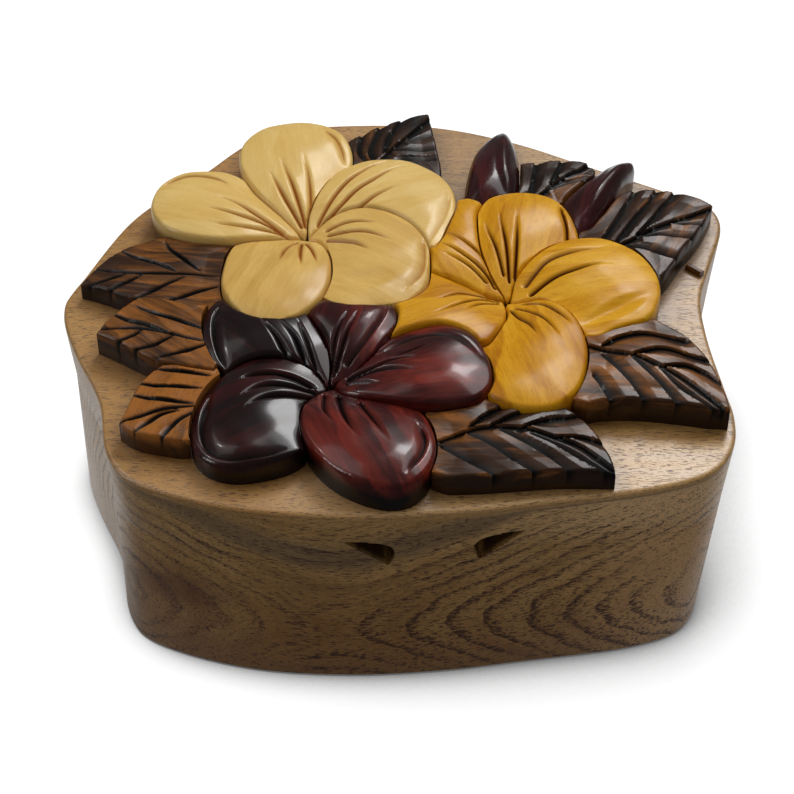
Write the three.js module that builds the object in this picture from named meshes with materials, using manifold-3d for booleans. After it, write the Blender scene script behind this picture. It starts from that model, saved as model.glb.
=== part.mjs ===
// A wooden puzzle box with a carved lid. The lid slides off along a dovetail.
// Millimetres, +Z up, +X to the right and +Y to the back. The origin is in the middle of the
// underside. The carved flowers, leaves and buds are separate pieces of wood glued on the lid.

import * as THREE from 'three';
import { mergeVertices } from 'three/addons/utils/BufferGeometryUtils.js';
import Module from 'manifold-3d';

const wasm = await Module();
wasm.setup();

// Box
const BOX_WIDTH = 165;
const BOX_DEPTH = 154.4;
const BODY_HEIGHT = 37.9;
const LID_THICKNESS = 16.4;
const LID_FLARE = 1.2;
const BODY_DRAFT = 0.8;
const BODY_LEAN = -1.5;
const SEAM_GAP = 0.3;
const WALL = 10;
const PANEL_THICKNESS = 5;
const GLUE_GAP = 0.3;
const FELT_THICKNESS = 1.2;
const FELT_MARGIN = 0.5;

// Sliding dovetail: two tenons on the body's rim, one groove through the lid
const TENON_X = 7.1;
const TENON_WAIST = 16.4;
const TENON_BEND = 3.2;
const TENON_TOP = 30;
const TENON_HEIGHT = 7.9;
const TENON_FILLET = 2;
const TENON_ROOT = 3;
const MOUTH_CLEARANCE = 0.3;
const FLANK_CLEARANCE = 5.2;
const CEILING_CLEARANCE = 0.35;

// Magnets that hold the lid shut
const MAGNET_DIAMETER = 6;
const MAGNET_THICKNESS = 3;
const MAGNET_CLEARANCE = 0.3;
const MAGNET_Y = -6;

// Carved pieces: the gap between them and how their tops are shaped
const CARVING_GAP = 0.3;
const EDGE_ROUNDING = 1;
const RING_SHARES = [1, 0.94, 0.72, 0.38];
const CUT_HEIGHT = 40;
const HEART_HOLE = 0.9;
const HEART_DEPTH = 2;
const HEART_REACH = 9;
const TUCK_SHARE = 0.8;

// Steps along an outline
const BOX_STEP = 5;
const CARVING_STEP = 4;
const MAGNET_SIDES = 20;
const FOLD_LIMIT = 0.2;

// Colours
const BOX_COLOUR = 0xa8835a;
const FELT_COLOUR = 0x2a1712;
const MAGNET_COLOUR = 0xb8bcc0;

// The lid's top seen from above, going round from its left corner past the back. Down to the
// seam the sides draw in by the flare, and down to the base by the draft. The saw stood a little
// off square, so the base lies a little to one side: that is the lean.
const BOX_PLAN = [
  [-82.5, -2], [-79.5, 7], [-71, 30], [-65.5, 39], [-53, 54], [-43, 67.5], [-34, 75], [-22, 77.2],
  [8, 77], [30, 69.5], [52, 56.5], [71, 45], [80.5, 38.5], [82.5, 31], [77.5, 13], [73.7, 0],
  [73.3, -15], [75, -34], [76, -45], [74.3, -55], [69, -63], [58, -68], [30, -73], [10, -76],
  [-12, -77.2], [-34, -75.3], [-53, -69.5], [-62, -64], [-66.5, -56], [-70, -39], [-77.5, -22],
  [-81.7, -10],
];

// Flowers. Each petal is drawn from above, from the flower's heart round and back to it, and
// runs on beneath the pieces named in under, which cut it. turn is the side that each petal
// lifts over its neighbour: 1 is the counter-clockwise side. lift raises a whole petal.
const FLOWERS = {
  cream: {
    colour: 0xdcc078, roughness: 0.4, heart: [-24.3, 18.8], turn: 1, high: 8.2, low: 4.2, crown: 2.2,
    petals: {
      left: {
        under: ['cream_petal_back'],
        plan: [[-31, 28], [-38, 37.5], [-44, 42.5], [-51.5, 43], [-58, 41.5], [-62, 37], [-63.8, 31],
          [-63, 24], [-58.5, 17.5], [-50.5, 14], [-42, 13.8], [-33, 16.2]],
      },
      back: {
        under: ['cream_petal_back_right'],
        plan: [[-21, 30], [-15.5, 40], [-12.8, 49], [-14, 57], [-18, 63.5], [-25, 66.3], [-33, 65.5],
          [-39, 61.8], [-42.3, 55], [-42.3, 46], [-38, 35.5], [-31, 26.5]],
      },
      back_right: {
        under: ['cream_petal_right'],
        plan: [[-23.6, 26], [-20.7, 35.6], [-17, 42.5], [-9, 48], [0, 48.3], [8, 43.5], [12.7, 36.5],
          [13.8, 29], [11.5, 19], [7.5, 9], [3, 11], [-4, 18.5], [-13, 21.5]],
      },
      right: {
        under: ['cream_petal_front'],
        plan: [[-20.5, 22], [-16, 25.2], [-10.5, 26.4], [-3.5, 24.3], [2.5, 19], [6.2, 11], [6.9, 2],
          [5.8, -6], [1, -11.5], [-7, -13.6], [-15, -13], [-19.5, -9], [-20, 0], [-21.5, 10]],
      },
      front: {
        under: ['cream_petal_left'],
        plan: [[-21, 15.5], [-18.4, 10], [-17.2, 3], [-17.6, -5], [-20.5, -13], [-26, -18],
          [-33, -18.5], [-39.5, -14.5], [-43.3, -7], [-43.8, 3], [-42.5, 12], [-38, 17], [-31, 19.3]],
      },
    },
  },
  yellow: {
    colour: 0xc9922e, roughness: 0.35, heart: [25.3, -7.2], turn: 1, high: 8, low: 4, crown: 2.2,
    petals: {
      left: {
        under: ['yellow_petal_back', 'cream_petal_back_right', 'cream_petal_right'],
        plan: [[21.5, -6], [14, -2.4], [7, 1.2], [4, 4], [5, 10], [9.5, 19], [12, 28], [15, 31.5],
          [19.5, 30.5], [22, 24], [22.3, 12], [24, 2]],
      },
      front_left: {
        under: ['yellow_petal_left', 'cream_petal_right', 'red_petal_back', 'red_petal_right'],
        plan: [[25, -13], [23.8, -19], [19.5, -27], [15, -28], [8, -26.5], [1, -27], [-3.5, -22],
          [-3.8, -15], [1, -9], [4.5, -3], [6, 3], [10, 3], [17, -0.5], [22.5, -4.5]],
      },
      front: {
        under: ['yellow_petal_front_left', 'red_petal_right'],
        plan: [[28.5, -8.2], [33, -8.8], [37.5, -12], [41, -18], [43, -27], [42.3, -36], [39.5, -44],
          [35, -49.2], [29.5, -50.4], [23.5, -49], [19.5, -46], [18.5, -40], [18, -33], [17.5, -27],
          [20.5, -20], [23.5, -13]],
      },
      right: {
        under: ['yellow_petal_front'],
        plan: [[27.8, -1], [31.5, 5.5], [37, 11], [43, 13.6], [50, 13.6], [56, 10.3], [60.5, 4],
          [62.4, -4], [61.3, -12], [58, -18.5], [51, -21.5], [44, -24.5], [39, -21], [34.5, -14],
          [29.5, -10]],
      },
      back: {
        under: ['yellow_petal_right'],
        plan: [[22.3, 0], [20, 8], [19.2, 17], [19.8, 26], [22.5, 31.3], [28.5, 33.6], [35.5, 33],
          [40.5, 29], [43.2, 22], [43.8, 13], [38, 8], [31, 0]],
      },
    },
  },
  red: {
    colour: 0x4a1512, roughness: 0.2, heart: [-16.4, -38.8], turn: -1, high: 7.6, low: 3.8, crown: 2.8,
    petals: {
      back_left: {
        under: ['red_petal_left', 'cream_petal_front'],
        plan: [[-16.8, -32], [-18.2, -25.5], [-21, -19], [-24.5, -14.5], [-32, -15.5], [-39.5, -11],
          [-44, -9.5], [-46.5, -14], [-46.9, -20], [-45.3, -28], [-41, -35], [-33, -35],
          [-25, -35.5], [-20, -37.3]],
      },
      back: {
        under: ['red_petal_back_left', 'cream_petal_front', 'cream_petal_right'],
        plan: [[-12.5, -36], [-7.5, -31.5], [-3.2, -24.5], [-1.3, -19], [-1.8, -13], [-4.5, -10.5],
          [-11, -10.5], [-18, -10], [-22, -13], [-23, -19], [-21, -26], [-18.3, -32.5]],
      },
      right: {
        lift: 1, under: ['red_petal_back'],
        plan: [[-13, -43], [-4.5, -46.8], [4, -49], [11, -49.6], [17, -47.5], [20.2, -42.5],
          [20.4, -36], [18.6, -29], [14.5, -23.4], [9, -21.4], [3, -22.6], [-2.5, -24.6], [-7, -28],
          [-12, -34]],
      },
      front: {
        under: ['red_petal_right'],
        plan: [[-19.5, -42.5], [-22.5, -49], [-22.2, -57], [-19, -64.5], [-13.5, -70.8], [-6, -75],
          [-0.5, -75.6], [4, -72.5], [7, -66], [7.3, -59], [5.5, -52], [1, -45.5], [-7, -44],
          [-13, -41]],
      },
      left: {
        under: ['red_petal_front'],
        plan: [[-19, -36], [-23, -33], [-29, -31.2], [-35, -32], [-40.5, -35.5], [-44.2, -42],
          [-46.5, -50], [-46.8, -58], [-44, -64], [-38, -67.3], [-30.5, -66.5], [-23, -63],
          [-19.5, -57], [-19.8, -50], [-18, -43.5]],
      },
    },
  },
};

// Leaves and buds. The first point is the tip, a sharp corner. rim is the height of the
// upright edge and crown how far the middle stands above it.
const LEAF = { colour: 0x2b1a12, roughness: 0.3, crown: 2.2 };
const BUD = { colour: 0x3a1216, roughness: 0.25, crown: 4.5 };
const LEAVES = {
  left_back: {
    rim: 4.5, under: ['cream_petal_left', 'cream_petal_front', 'red_petal_back_left'],
    plan: [[-78.4, -1], [-76.5, 2.5], [-72.5, 9.3], [-68, 13.5], [-62.5, 16.3], [-52, 18.5],
      [-42, 17], [-40, 8], [-40, -3], [-42, -11], [-48, -12.3], [-56, -10.4], [-65.5, -7.2],
      [-73.5, -3]],
  },
  left: {
    rim: 6, under: ['leaf_left_back', 'red_petal_back_left', 'red_petal_left'],
    plan: [[-71.8, -22.3], [-70.3, -19], [-66.5, -13], [-62, -8.5], [-56, -7.5], [-48, -9.5],
      [-44.5, -14], [-44, -22], [-42, -30], [-42.5, -35], [-49, -34.3], [-56, -32.8], [-62, -29],
      [-68, -24.8]],
  },
  left_front: {
    rim: 5, under: ['leaf_left', 'red_petal_left'],
    plan: [[-63.2, -53], [-61.8, -48.5], [-60.5, -42], [-57.5, -36], [-52, -31.5], [-45, -32],
      [-41, -39], [-43.5, -46], [-44, -54], [-45, -59], [-52, -58.5], [-59.5, -56.2]],
  },
  back: {
    rim: 5, under: ['cream_petal_back', 'cream_petal_back_right'],
    plan: [[7.5, 74.8], [2, 72.5], [-4.5, 68.3], [-10, 64.5], [-15, 59], [-17, 52], [-15, 46],
      [-6, 45], [4, 43.5], [9.5, 39], [10.5, 47], [9.7, 55], [8.7, 64]],
  },
  between_buds: {
    rim: 5, under: ['bud_left', 'bud_right', 'yellow_petal_back'],
    plan: [[51, 47.5], [48, 50.6], [42.5, 51], [36, 49.8], [30.5, 48.8], [27.5, 45], [27, 37],
      [31, 31], [38, 30], [46, 36], [50, 42]],
  },
  right_back: {
    rim: 6, under: ['bud_right', 'yellow_petal_back', 'yellow_petal_right'],
    plan: [[79.6, 30], [75, 33.5], [69, 36], [62.5, 36.5], [57, 35], [51, 29], [45.5, 20],
      [44, 13], [51, 8.5], [57, 2], [61, -2], [64.1, 0.8], [66.9, 5.4], [69.8, 11], [73, 15.8],
      [76.8, 23]],
  },
  right: {
    rim: 6, under: ['yellow_petal_right', 'yellow_petal_front'],
    plan: [[73.6, -49.3], [73, -42], [71, -33], [67.5, -25], [62, -19], [56, -15], [48, -18],
      [41, -24], [40, -32], [39, -39], [38, -44], [39.5, -47.5], [46, -46.5], [54, -46.5],
      [63, -47.8], [70, -49.2]],
  },
  front: {
    rim: 5, under: ['yellow_petal_front', 'red_petal_right', 'red_petal_front'],
    plan: [[46.3, -69], [45.5, -64], [43.3, -57], [39.8, -51], [35, -47], [27, -46], [18, -44.5],
      [10, -46], [4, -52], [4.5, -60], [5, -67], [8, -70.2], [16, -70.5], [24, -69.8], [33, -68.9],
      [41, -68.8]],
  },
};
const BUDS = {
  left: {
    rim: 5.5, under: ['yellow_petal_left', 'yellow_petal_back'],
    plan: [[27.9, 65.6], [24, 63], [20, 56], [17.4, 46], [16.2, 36], [16, 29], [20, 26.5],
      [27, 29.5], [30, 37], [31, 47], [30.6, 56], [29.4, 62]],
  },
  right: {
    rim: 5.5, under: ['yellow_petal_back'],
    plan: [[61.3, 51.3], [57, 50], [51.5, 45], [46, 38.3], [41.5, 32], [40.5, 26], [42, 18.5],
      [45, 17.5], [49, 22], [53.5, 30], [58, 39.5], [61.3, 47]],
  },
};

// A thin stem that lies on the lid beside the leaf at the right back
const STEM = { height: 1.5, plan: [[71.6, 12.4], [70.9, 11], [74.2, 7.6], [75.3, 8.7]] };

// Heights that follow from the sizes
const RIM_Z = BODY_HEIGHT;
const LID_Z = RIM_Z + SEAM_GAP;
const TOP_Z = LID_Z + LID_THICKNESS;

// Outlines are lists of Vector2, counter-clockwise.

function area(outline) {
  return THREE.ShapeUtils.area(outline);
}

function counterClockwise(outline) {
  return area(outline) < 0 ? outline.slice().reverse() : outline;
}

// A smooth line through the points, in steps of about one length. A closed one has no corner,
// and an open one starts and ends at the same corner.
function smoothOutline(points, closed, step) {
  const curve = new THREE.CatmullRomCurve3(points, closed, 'centripetal');
  const steps = Math.round(curve.getLength() / step);
  const line = curve.getSpacedPoints(steps).slice(0, steps);
  return counterClockwise(line.map((point) => new THREE.Vector2(point.x, point.y)));
}

// The plan as drawn fills the box's drawn size: this stretches its points to the real size.
const drawnOutline = smoothOutline(BOX_PLAN.map(([x, y]) => new THREE.Vector3(x, y, 0)), true, BOX_STEP);
const drawnSize = new THREE.Box2().setFromPoints(drawnOutline).getSize(new THREE.Vector2());
const stretch = new THREE.Vector2(BOX_WIDTH / drawnSize.x, BOX_DEPTH / drawnSize.y);

function onBox([x, y]) {
  return new THREE.Vector3(x * stretch.x, y * stretch.y, 0);
}

// The outward direction at each corner, longer at a bend so that both sides move alike
function outwardAt(outline, index) {
  const count = outline.length;
  const before = outline[index].clone().sub(outline[(index + count - 1) % count]).normalize();
  const after = outline[(index + 1) % count].clone().sub(outline[index]).normalize();
  const normal = new THREE.Vector2(before.y + after.y, -before.x - after.x).normalize();
  const share = Math.max(0.5, normal.x * after.y - normal.y * after.x);
  return normal.divideScalar(share);
}

function grown(outline, distance) {
  return outline.map((point, index) => point.clone().addScaledVector(outwardAt(outline, index), distance));
}

function distanceToOutline(point, outline) {
  let nearest = Infinity;
  outline.forEach((start, index) => {
    const along = outline[(index + 1) % outline.length].clone().sub(start);
    const offset = point.clone().sub(start);
    const share = THREE.MathUtils.clamp(offset.dot(along) / along.lengthSq(), 0, 1);
    nearest = Math.min(nearest, offset.addScaledVector(along, -share).length());
  });
  return nearest;
}

// A wall's inner line. Points that fold over at a tight corner are left out.
function shrunk(outline, distance) {
  const moved = grown(outline, -distance);
  const kept = moved.filter((point) => distanceToOutline(point, outline) > distance - FOLD_LIMIT);
  return smoothOutline(kept.map((point) => new THREE.Vector3(point.x, point.y, 0)), true, BOX_STEP);
}

function centreOf(outline) {
  const centre = new THREE.Vector2();
  let total = 0;
  outline.forEach((point, index) => {
    const next = outline[(index + 1) % outline.length];
    const weight = point.cross(next);
    centre.addScaledVector(point.clone().add(next), weight / 3);
    total += weight;
  });
  return centre.divideScalar(total);
}

// Solids

function toSolid(geometry) {
  const bare = geometry.index ? geometry.toNonIndexed() : geometry.clone();
  bare.deleteAttribute('normal');
  bare.deleteAttribute('uv');
  const merged = mergeVertices(bare, 1e-5);
  const mesh = new wasm.Mesh({
    numProp: 3,
    vertProperties: new Float32Array(merged.attributes.position.array),
    triVerts: new Uint32Array(merged.index.array),
  });
  mesh.merge();
  return new wasm.Manifold(mesh);
}

function toGeometry(solid) {
  const mesh = solid.getMesh();
  const geometry = new THREE.BufferGeometry();
  geometry.setAttribute('position', new THREE.BufferAttribute(new Float32Array(mesh.vertProperties), 3));
  geometry.setIndex(new THREE.BufferAttribute(new Uint32Array(mesh.triVerts), 1));
  geometry.computeVertexNormals();
  return geometry;
}

function prism(outline, low, high) {
  const geometry = new THREE.ExtrudeGeometry(new THREE.Shape(outline), {
    depth: high - low,
    bevelEnabled: false,
    steps: 1,
  });
  geometry.translate(0, 0, low);
  return toSolid(geometry);
}

// A block between two outlines with as many points, one below the other
function drafted(lowOutline, highOutline, low, high) {
  const count = lowOutline.length;
  const positions = [];
  lowOutline.forEach((point) => positions.push(point.x, point.y, low));
  highOutline.forEach((point) => positions.push(point.x, point.y, high));
  const faces = [];
  for (let index = 0; index < count; index += 1) {
    const next = (index + 1) % count;
    faces.push(index, next, count + next, index, count + next, count + index);
  }
  for (const [a, b, c] of THREE.ShapeUtils.triangulateShape(lowOutline, [])) {
    faces.push(a, c, b);
  }
  for (const [a, b, c] of THREE.ShapeUtils.triangulateShape(highOutline, [])) {
    faces.push(count + a, count + b, count + c);
  }
  const geometry = new THREE.BufferGeometry();
  geometry.setAttribute('position', new THREE.Float32BufferAttribute(positions, 3));
  geometry.setIndex(faces);
  return toSolid(geometry);
}

// A profile drawn in X and Z, drawn out along Y through the whole box
function runThrough(profile) {
  const length = BOX_DEPTH + 2 * WALL;
  const geometry = new THREE.ExtrudeGeometry(profile, { depth: length, bevelEnabled: false, steps: 1 });
  geometry.rotateX(Math.PI / 2);
  geometry.translate(0, length / 2, 0);
  return toSolid(geometry);
}

// Box pieces

const lidOutline = drawnOutline.map((point) => point.clone().multiply(stretch));
const bodyOutline = grown(lidOutline, -LID_FLARE);
const lean = new THREE.Vector2(BODY_LEAN, 0);
const baseOutline = grown(bodyOutline, -BODY_DRAFT).map((point) => point.add(lean));
const cavityOutline = shrunk(bodyOutline, WALL);

// Where a wall's outer face crosses a line at the height y in the plan. side is -1 or 1.
function wallX(y, side) {
  let x = 0;
  bodyOutline.forEach((start, index) => {
    const end = bodyOutline[(index + 1) % bodyOutline.length];
    const crosses = (start.y - y) * (end.y - y) <= 0 && start.y !== end.y;
    const crossing = start.x + (end.x - start.x) * (y - start.y) / (end.y - start.y);
    x = crosses && crossing * side > x * side ? crossing : x;
  });
  return x;
}

function tenonProfile() {
  const waist = TENON_WAIST / 2;
  const top = TENON_TOP / 2;
  const foot = waist + TENON_FILLET;
  const bendZ = RIM_Z + TENON_BEND;
  const topZ = RIM_Z + TENON_HEIGHT;
  const filletZ = bendZ + (topZ - bendZ) * TENON_FILLET / (top - waist);
  const shape = new THREE.Shape();
  shape.moveTo(TENON_X - foot, RIM_Z - TENON_ROOT);
  shape.lineTo(TENON_X + foot, RIM_Z - TENON_ROOT);
  shape.lineTo(TENON_X + foot, RIM_Z);
  shape.quadraticCurveTo(TENON_X + waist, bendZ, TENON_X + foot, filletZ);
  shape.lineTo(TENON_X + top, topZ);
  shape.lineTo(TENON_X - top, topZ);
  shape.lineTo(TENON_X - foot, filletZ);
  shape.quadraticCurveTo(TENON_X - waist, bendZ, TENON_X - foot, RIM_Z);
  return shape;
}

function grooveProfile() {
  const mouth = TENON_WAIST / 2 + TENON_FILLET + MOUTH_CLEARANCE;
  const top = TENON_TOP / 2 + FLANK_CLEARANCE;
  const topZ = RIM_Z + TENON_HEIGHT + CEILING_CLEARANCE;
  const shape = new THREE.Shape();
  shape.moveTo(TENON_X - mouth, RIM_Z - TENON_ROOT);
  shape.lineTo(TENON_X + mouth, RIM_Z - TENON_ROOT);
  shape.lineTo(TENON_X + mouth, LID_Z);
  shape.lineTo(TENON_X + top, topZ);
  shape.lineTo(TENON_X - top, topZ);
  shape.lineTo(TENON_X - mouth, LID_Z);
  return shape;
}

function disc(x, y, low, diameter, thickness) {
  const geometry = new THREE.CylinderGeometry(diameter / 2, diameter / 2, thickness, MAGNET_SIDES);
  geometry.rotateX(Math.PI / 2);
  geometry.translate(x, y, low + thickness / 2);
  return toSolid(geometry);
}

const POCKET_DIAMETER = MAGNET_DIAMETER + 2 * MAGNET_CLEARANCE;
const POCKET_DEPTH = MAGNET_THICKNESS + 2 * MAGNET_CLEARANCE;
const magnetPlaces = { left: wallX(MAGNET_Y, -1) + WALL / 2, right: wallX(MAGNET_Y, 1) - WALL / 2 };

function makeBody() {
  const block = drafted(baseOutline, bodyOutline, 0, RIM_Z);
  const upper = drafted(bodyOutline, lidOutline, RIM_Z, TOP_Z);
  const tenons = runThrough(tenonProfile()).intersect(upper);
  const hollow = prism(cavityOutline, -1, TOP_Z + 1);
  let body = block.add(tenons).subtract(hollow);
  for (const x of Object.values(magnetPlaces)) {
    body = body.subtract(disc(x, MAGNET_Y, RIM_Z - POCKET_DEPTH, POCKET_DIAMETER, POCKET_DEPTH + 1));
  }
  return body;
}

function makeLid() {
  const slab = drafted(bodyOutline, lidOutline, LID_Z, TOP_Z);
  let lid = slab.subtract(runThrough(grooveProfile()));
  for (const x of Object.values(magnetPlaces)) {
    lid = lid.subtract(disc(x, MAGNET_Y, LID_Z - 1, POCKET_DIAMETER, POCKET_DEPTH + 1));
  }
  return lid;
}

// Carved pieces

// A solid with upright sides and a carved top: rings of the outline drawn in towards its middle.
// height(x, y, share) is the top's height above the lid, with share 1 at the edge.
function carved(outline, height) {
  const middle = centreOf(outline);
  const count = outline.length;
  const positions = [];
  outline.forEach((point) => positions.push(point.x, point.y, TOP_Z));
  RING_SHARES.forEach((share) => outline.forEach((point) => {
    const x = middle.x + (point.x - middle.x) * share;
    const y = middle.y + (point.y - middle.y) * share;
    const drop = share === 1 ? EDGE_ROUNDING : 0;
    positions.push(x, y, TOP_Z + height(x, y, share) - drop);
  }));
  const peak = positions.length / 3;
  positions.push(middle.x, middle.y, TOP_Z + height(middle.x, middle.y, 0));
  positions.push(middle.x, middle.y, TOP_Z);
  const faces = [];
  for (let index = 0; index < count; index += 1) {
    const next = (index + 1) % count;
    for (let ring = 0; ring < RING_SHARES.length; ring += 1) {
      const low = ring * count;
      const high = low + count;
      faces.push(low + index, low + next, high + next, low + index, high + next, high + index);
    }
    const last = RING_SHARES.length * count;
    faces.push(last + index, last + next, peak);
    faces.push(next, index, peak + 1);
  }
  const geometry = new THREE.BufferGeometry();
  geometry.setAttribute('position', new THREE.Float32BufferAttribute(positions, 3));
  geometry.setIndex(faces);
  return toSolid(geometry);
}

// A petal is high all round its outer end. Towards the heart the side that goes under its
// neighbour comes down, and the whole petal sinks.
function petalHeight(flower, heart, outline, lift) {
  const middle = centreOf(outline);
  const along = middle.clone().sub(heart).normalize();
  const across = new THREE.Vector2(-along.y, along.x).multiplyScalar(flower.turn);
  const reaches = outline.map((point) => point.clone().sub(middle).dot(across));
  const widest = Math.max(...reaches);
  const narrowest = Math.min(...reaches);
  const length = Math.max(...outline.map((point) => point.distanceTo(heart)));
  return (x, y, share) => {
    const point = new THREE.Vector2(x, y);
    const side = (point.clone().sub(middle).dot(across) - narrowest) / (widest - narrowest);
    const reach = point.distanceTo(heart);
    const near = Math.max(0, 1 - (reach / length / TUCK_SHARE) ** 2);
    const tucked = (flower.high - flower.low) * (1 - side) * near;
    const dome = flower.crown * (1 - share * share);
    const sink = HEART_DEPTH * Math.exp(-((reach / HEART_REACH) ** 2));
    return flower.high + lift - tucked + dome - sink;
  };
}

// The corner of a petal stands just off the heart, so that the five corners don't meet.
function petalOutline(flower, heart, plan) {
  const points = plan.map(onBox);
  const middle = points.reduce((sum, point) => sum.add(point), new THREE.Vector3());
  middle.divideScalar(points.length);
  const centre = new THREE.Vector3(heart.x, heart.y, 0);
  const corner = centre.clone().addScaledVector(middle.sub(centre).normalize(), HEART_HOLE);
  return smoothOutline([corner, ...points, corner], false, CARVING_STEP);
}

function domeHeight(rim, crown) {
  return (x, y, share) => rim + crown * (1 - share * share);
}

const carvings = {};

for (const [flowerName, flower] of Object.entries(FLOWERS)) {
  const [heartX, heartY] = flower.heart;
  const heart = new THREE.Vector2(heartX, heartY).multiply(stretch);
  for (const [place, petal] of Object.entries(flower.petals)) {
    const outline = petalOutline(flower, heart, petal.plan);
    const height = petalHeight(flower, heart, outline, petal.lift ?? 0);
    const name = `${flowerName}_petal_${place}`;
    carvings[name] = { outline, height, under: petal.under, colour: flower.colour, roughness: flower.roughness };
  }
}

for (const [prefix, pieces, wood] of [['leaf', LEAVES, LEAF], ['bud', BUDS, BUD]]) {
  for (const [place, piece] of Object.entries(pieces)) {
    const points = piece.plan.map(onBox);
    const outline = smoothOutline([...points, points[0]], false, CARVING_STEP);
    const height = domeHeight(piece.rim, wood.crown);
    const { colour, roughness } = wood;
    carvings[`${prefix}_${place}`] = { outline, height, under: piece.under, colour, roughness };
  }
}

function makeCarving(piece) {
  let solid = carved(piece.outline, piece.height);
  for (const name of piece.under) {
    const cutter = prism(grown(carvings[name].outline, CARVING_GAP), TOP_Z - 1, TOP_Z + CUT_HEIGHT);
    solid = solid.subtract(cutter);
  }
  return solid;
}

function makeStem() {
  const outline = counterClockwise(STEM.plan.map(onBox).map((point) => new THREE.Vector2(point.x, point.y)));
  return prism(outline, TOP_Z, TOP_Z + STEM.height);
}

// Assembly

const group = new THREE.Group();

function addPiece(parent, name, solid, colour, roughness, metalness = 0) {
  const material = new THREE.MeshStandardMaterial({ color: colour, roughness, metalness });
  const mesh = new THREE.Mesh(toGeometry(solid), material);
  mesh.name = name;
  parent.add(mesh);
}

const box = new THREE.Group();
addPiece(box, 'box_body', makeBody(), BOX_COLOUR, 0.45);
addPiece(box, 'bottom_panel', prism(grown(cavityOutline, -GLUE_GAP), 0, PANEL_THICKNESS), BOX_COLOUR, 0.5);
addPiece(
  box, 'felt_lining',
  prism(grown(cavityOutline, -FELT_MARGIN), PANEL_THICKNESS, PANEL_THICKNESS + FELT_THICKNESS),
  FELT_COLOUR, 0.95,
);
group.add(box);

const lid = new THREE.Group();
addPiece(lid, 'lid', makeLid(), BOX_COLOUR, 0.4);
group.add(lid);

for (const [side, x] of Object.entries(magnetPlaces)) {
  const low = RIM_Z - MAGNET_CLEARANCE - MAGNET_THICKNESS;
  const high = LID_Z + MAGNET_CLEARANCE;
  const rimMagnet = disc(x, MAGNET_Y, low, MAGNET_DIAMETER, MAGNET_THICKNESS);
  const lidMagnet = disc(x, MAGNET_Y, high, MAGNET_DIAMETER, MAGNET_THICKNESS);
  addPiece(box, `rim_magnet_${side}`, rimMagnet, MAGNET_COLOUR, 0.3, 1);
  addPiece(lid, `lid_magnet_${side}`, lidMagnet, MAGNET_COLOUR, 0.3, 1);
}

for (const [name, piece] of Object.entries(carvings)) {
  addPiece(lid, name, makeCarving(piece), piece.colour, piece.roughness);
}

addPiece(lid, 'leaf_stem', makeStem(), LEAF.colour, LEAF.roughness);

export default group;
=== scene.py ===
"""Looks of the carved puzzle box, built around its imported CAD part.

Shapes are worked out in millimetres and become metres where a mesh is made. Every outline comes
from the CAD node that the piece stands for, made smooth, and the carving is cut into its top.
"""

import math

import bpy
import numpy as np
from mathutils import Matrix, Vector
from mathutils.bvhtree import BVHTree
from mathutils.geometry import delaunay_2d_cdt
from mathutils.kdtree import KDTree


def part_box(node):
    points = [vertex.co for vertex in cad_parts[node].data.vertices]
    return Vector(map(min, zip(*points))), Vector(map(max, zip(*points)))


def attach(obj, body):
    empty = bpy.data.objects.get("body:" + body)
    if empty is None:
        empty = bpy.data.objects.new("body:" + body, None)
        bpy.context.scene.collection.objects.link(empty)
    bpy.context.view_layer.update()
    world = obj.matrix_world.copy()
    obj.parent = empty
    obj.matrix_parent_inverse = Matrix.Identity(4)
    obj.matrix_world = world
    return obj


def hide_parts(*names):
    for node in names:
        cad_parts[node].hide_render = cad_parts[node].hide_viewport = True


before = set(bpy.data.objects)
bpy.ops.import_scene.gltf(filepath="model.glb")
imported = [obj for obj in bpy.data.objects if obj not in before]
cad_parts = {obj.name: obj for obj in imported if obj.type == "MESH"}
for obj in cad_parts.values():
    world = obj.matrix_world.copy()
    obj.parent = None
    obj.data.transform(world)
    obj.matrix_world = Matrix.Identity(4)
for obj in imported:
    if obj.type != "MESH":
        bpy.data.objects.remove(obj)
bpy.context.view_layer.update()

MM = 0.001

# Heights of the box, as in the CAD part
RIM_Z = 37.9
LID_Z = 38.2
TOP_Z = 54.6

# Where the closed seam shows
SEAM_LOW = 38.0
SEAM_HIGH = 38.06

# How the sides draw in below the lid's top, and how far the base stands to one side
LID_FLARE = 1.2
BODY_DRAFT = 0.8
BODY_LEAN = -1.5

# Sliding dovetail
TENON_X = 7.1
TENON_WAIST = 16.4
TENON_TOP = 30
TENON_HEIGHT = 7.9
TENON_CROWN = 0.15
TENON_FILLET = 2
TENON_ROOT = 3
MOUTH_CLEARANCE = 0.3
FLANK_CLEARANCE = 5.2
CEILING_CLEARANCE = 0.22
RUN_HALF = 90

# Painted shade in the joint starts at this Y in the middle, and this much further back per mm in X
JOINT_Y = -74.6
JOINT_TURN = 0.1

# Holes for the magnets
POCKET_GAP = 0.3
POCKET_DEPTH = 3.6
MAGNET_EDGE = 0.35

# Sanded edges
LID_EDGE = 1.1
SEAM_EDGE = 0.12
FOOT_EDGE = 0.7
PETAL_EDGE = 0.95
LEAF_EDGE = 0.55
BUD_EDGE = 1.2

# A piece's edge stays sharp where it lies this close to a higher neighbour, and a leaf's or bud's
# edge where a petal lies this close
TUCKED_EDGE = 0.0
PETAL_TUCK = 1.5
LEAF_TUCK = 2
EDGE_SPREAD = 9

# A leaf's top stays level for this far from its edge
LEAF_RIM = 4.0

# Half the height of the waves that a carver's tools leave
TOOL_WAVE = 0.055

# A cut of this depth is as dark, with stain and painted shade, as cuts get
FULL_GROOVE = 1.3

# Edges sharper than this many degrees aren't shaded smooth
SAWN_ANGLE = 32
CARVED_ANGLE = 55
VEINED_ANGLE = 60

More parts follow.
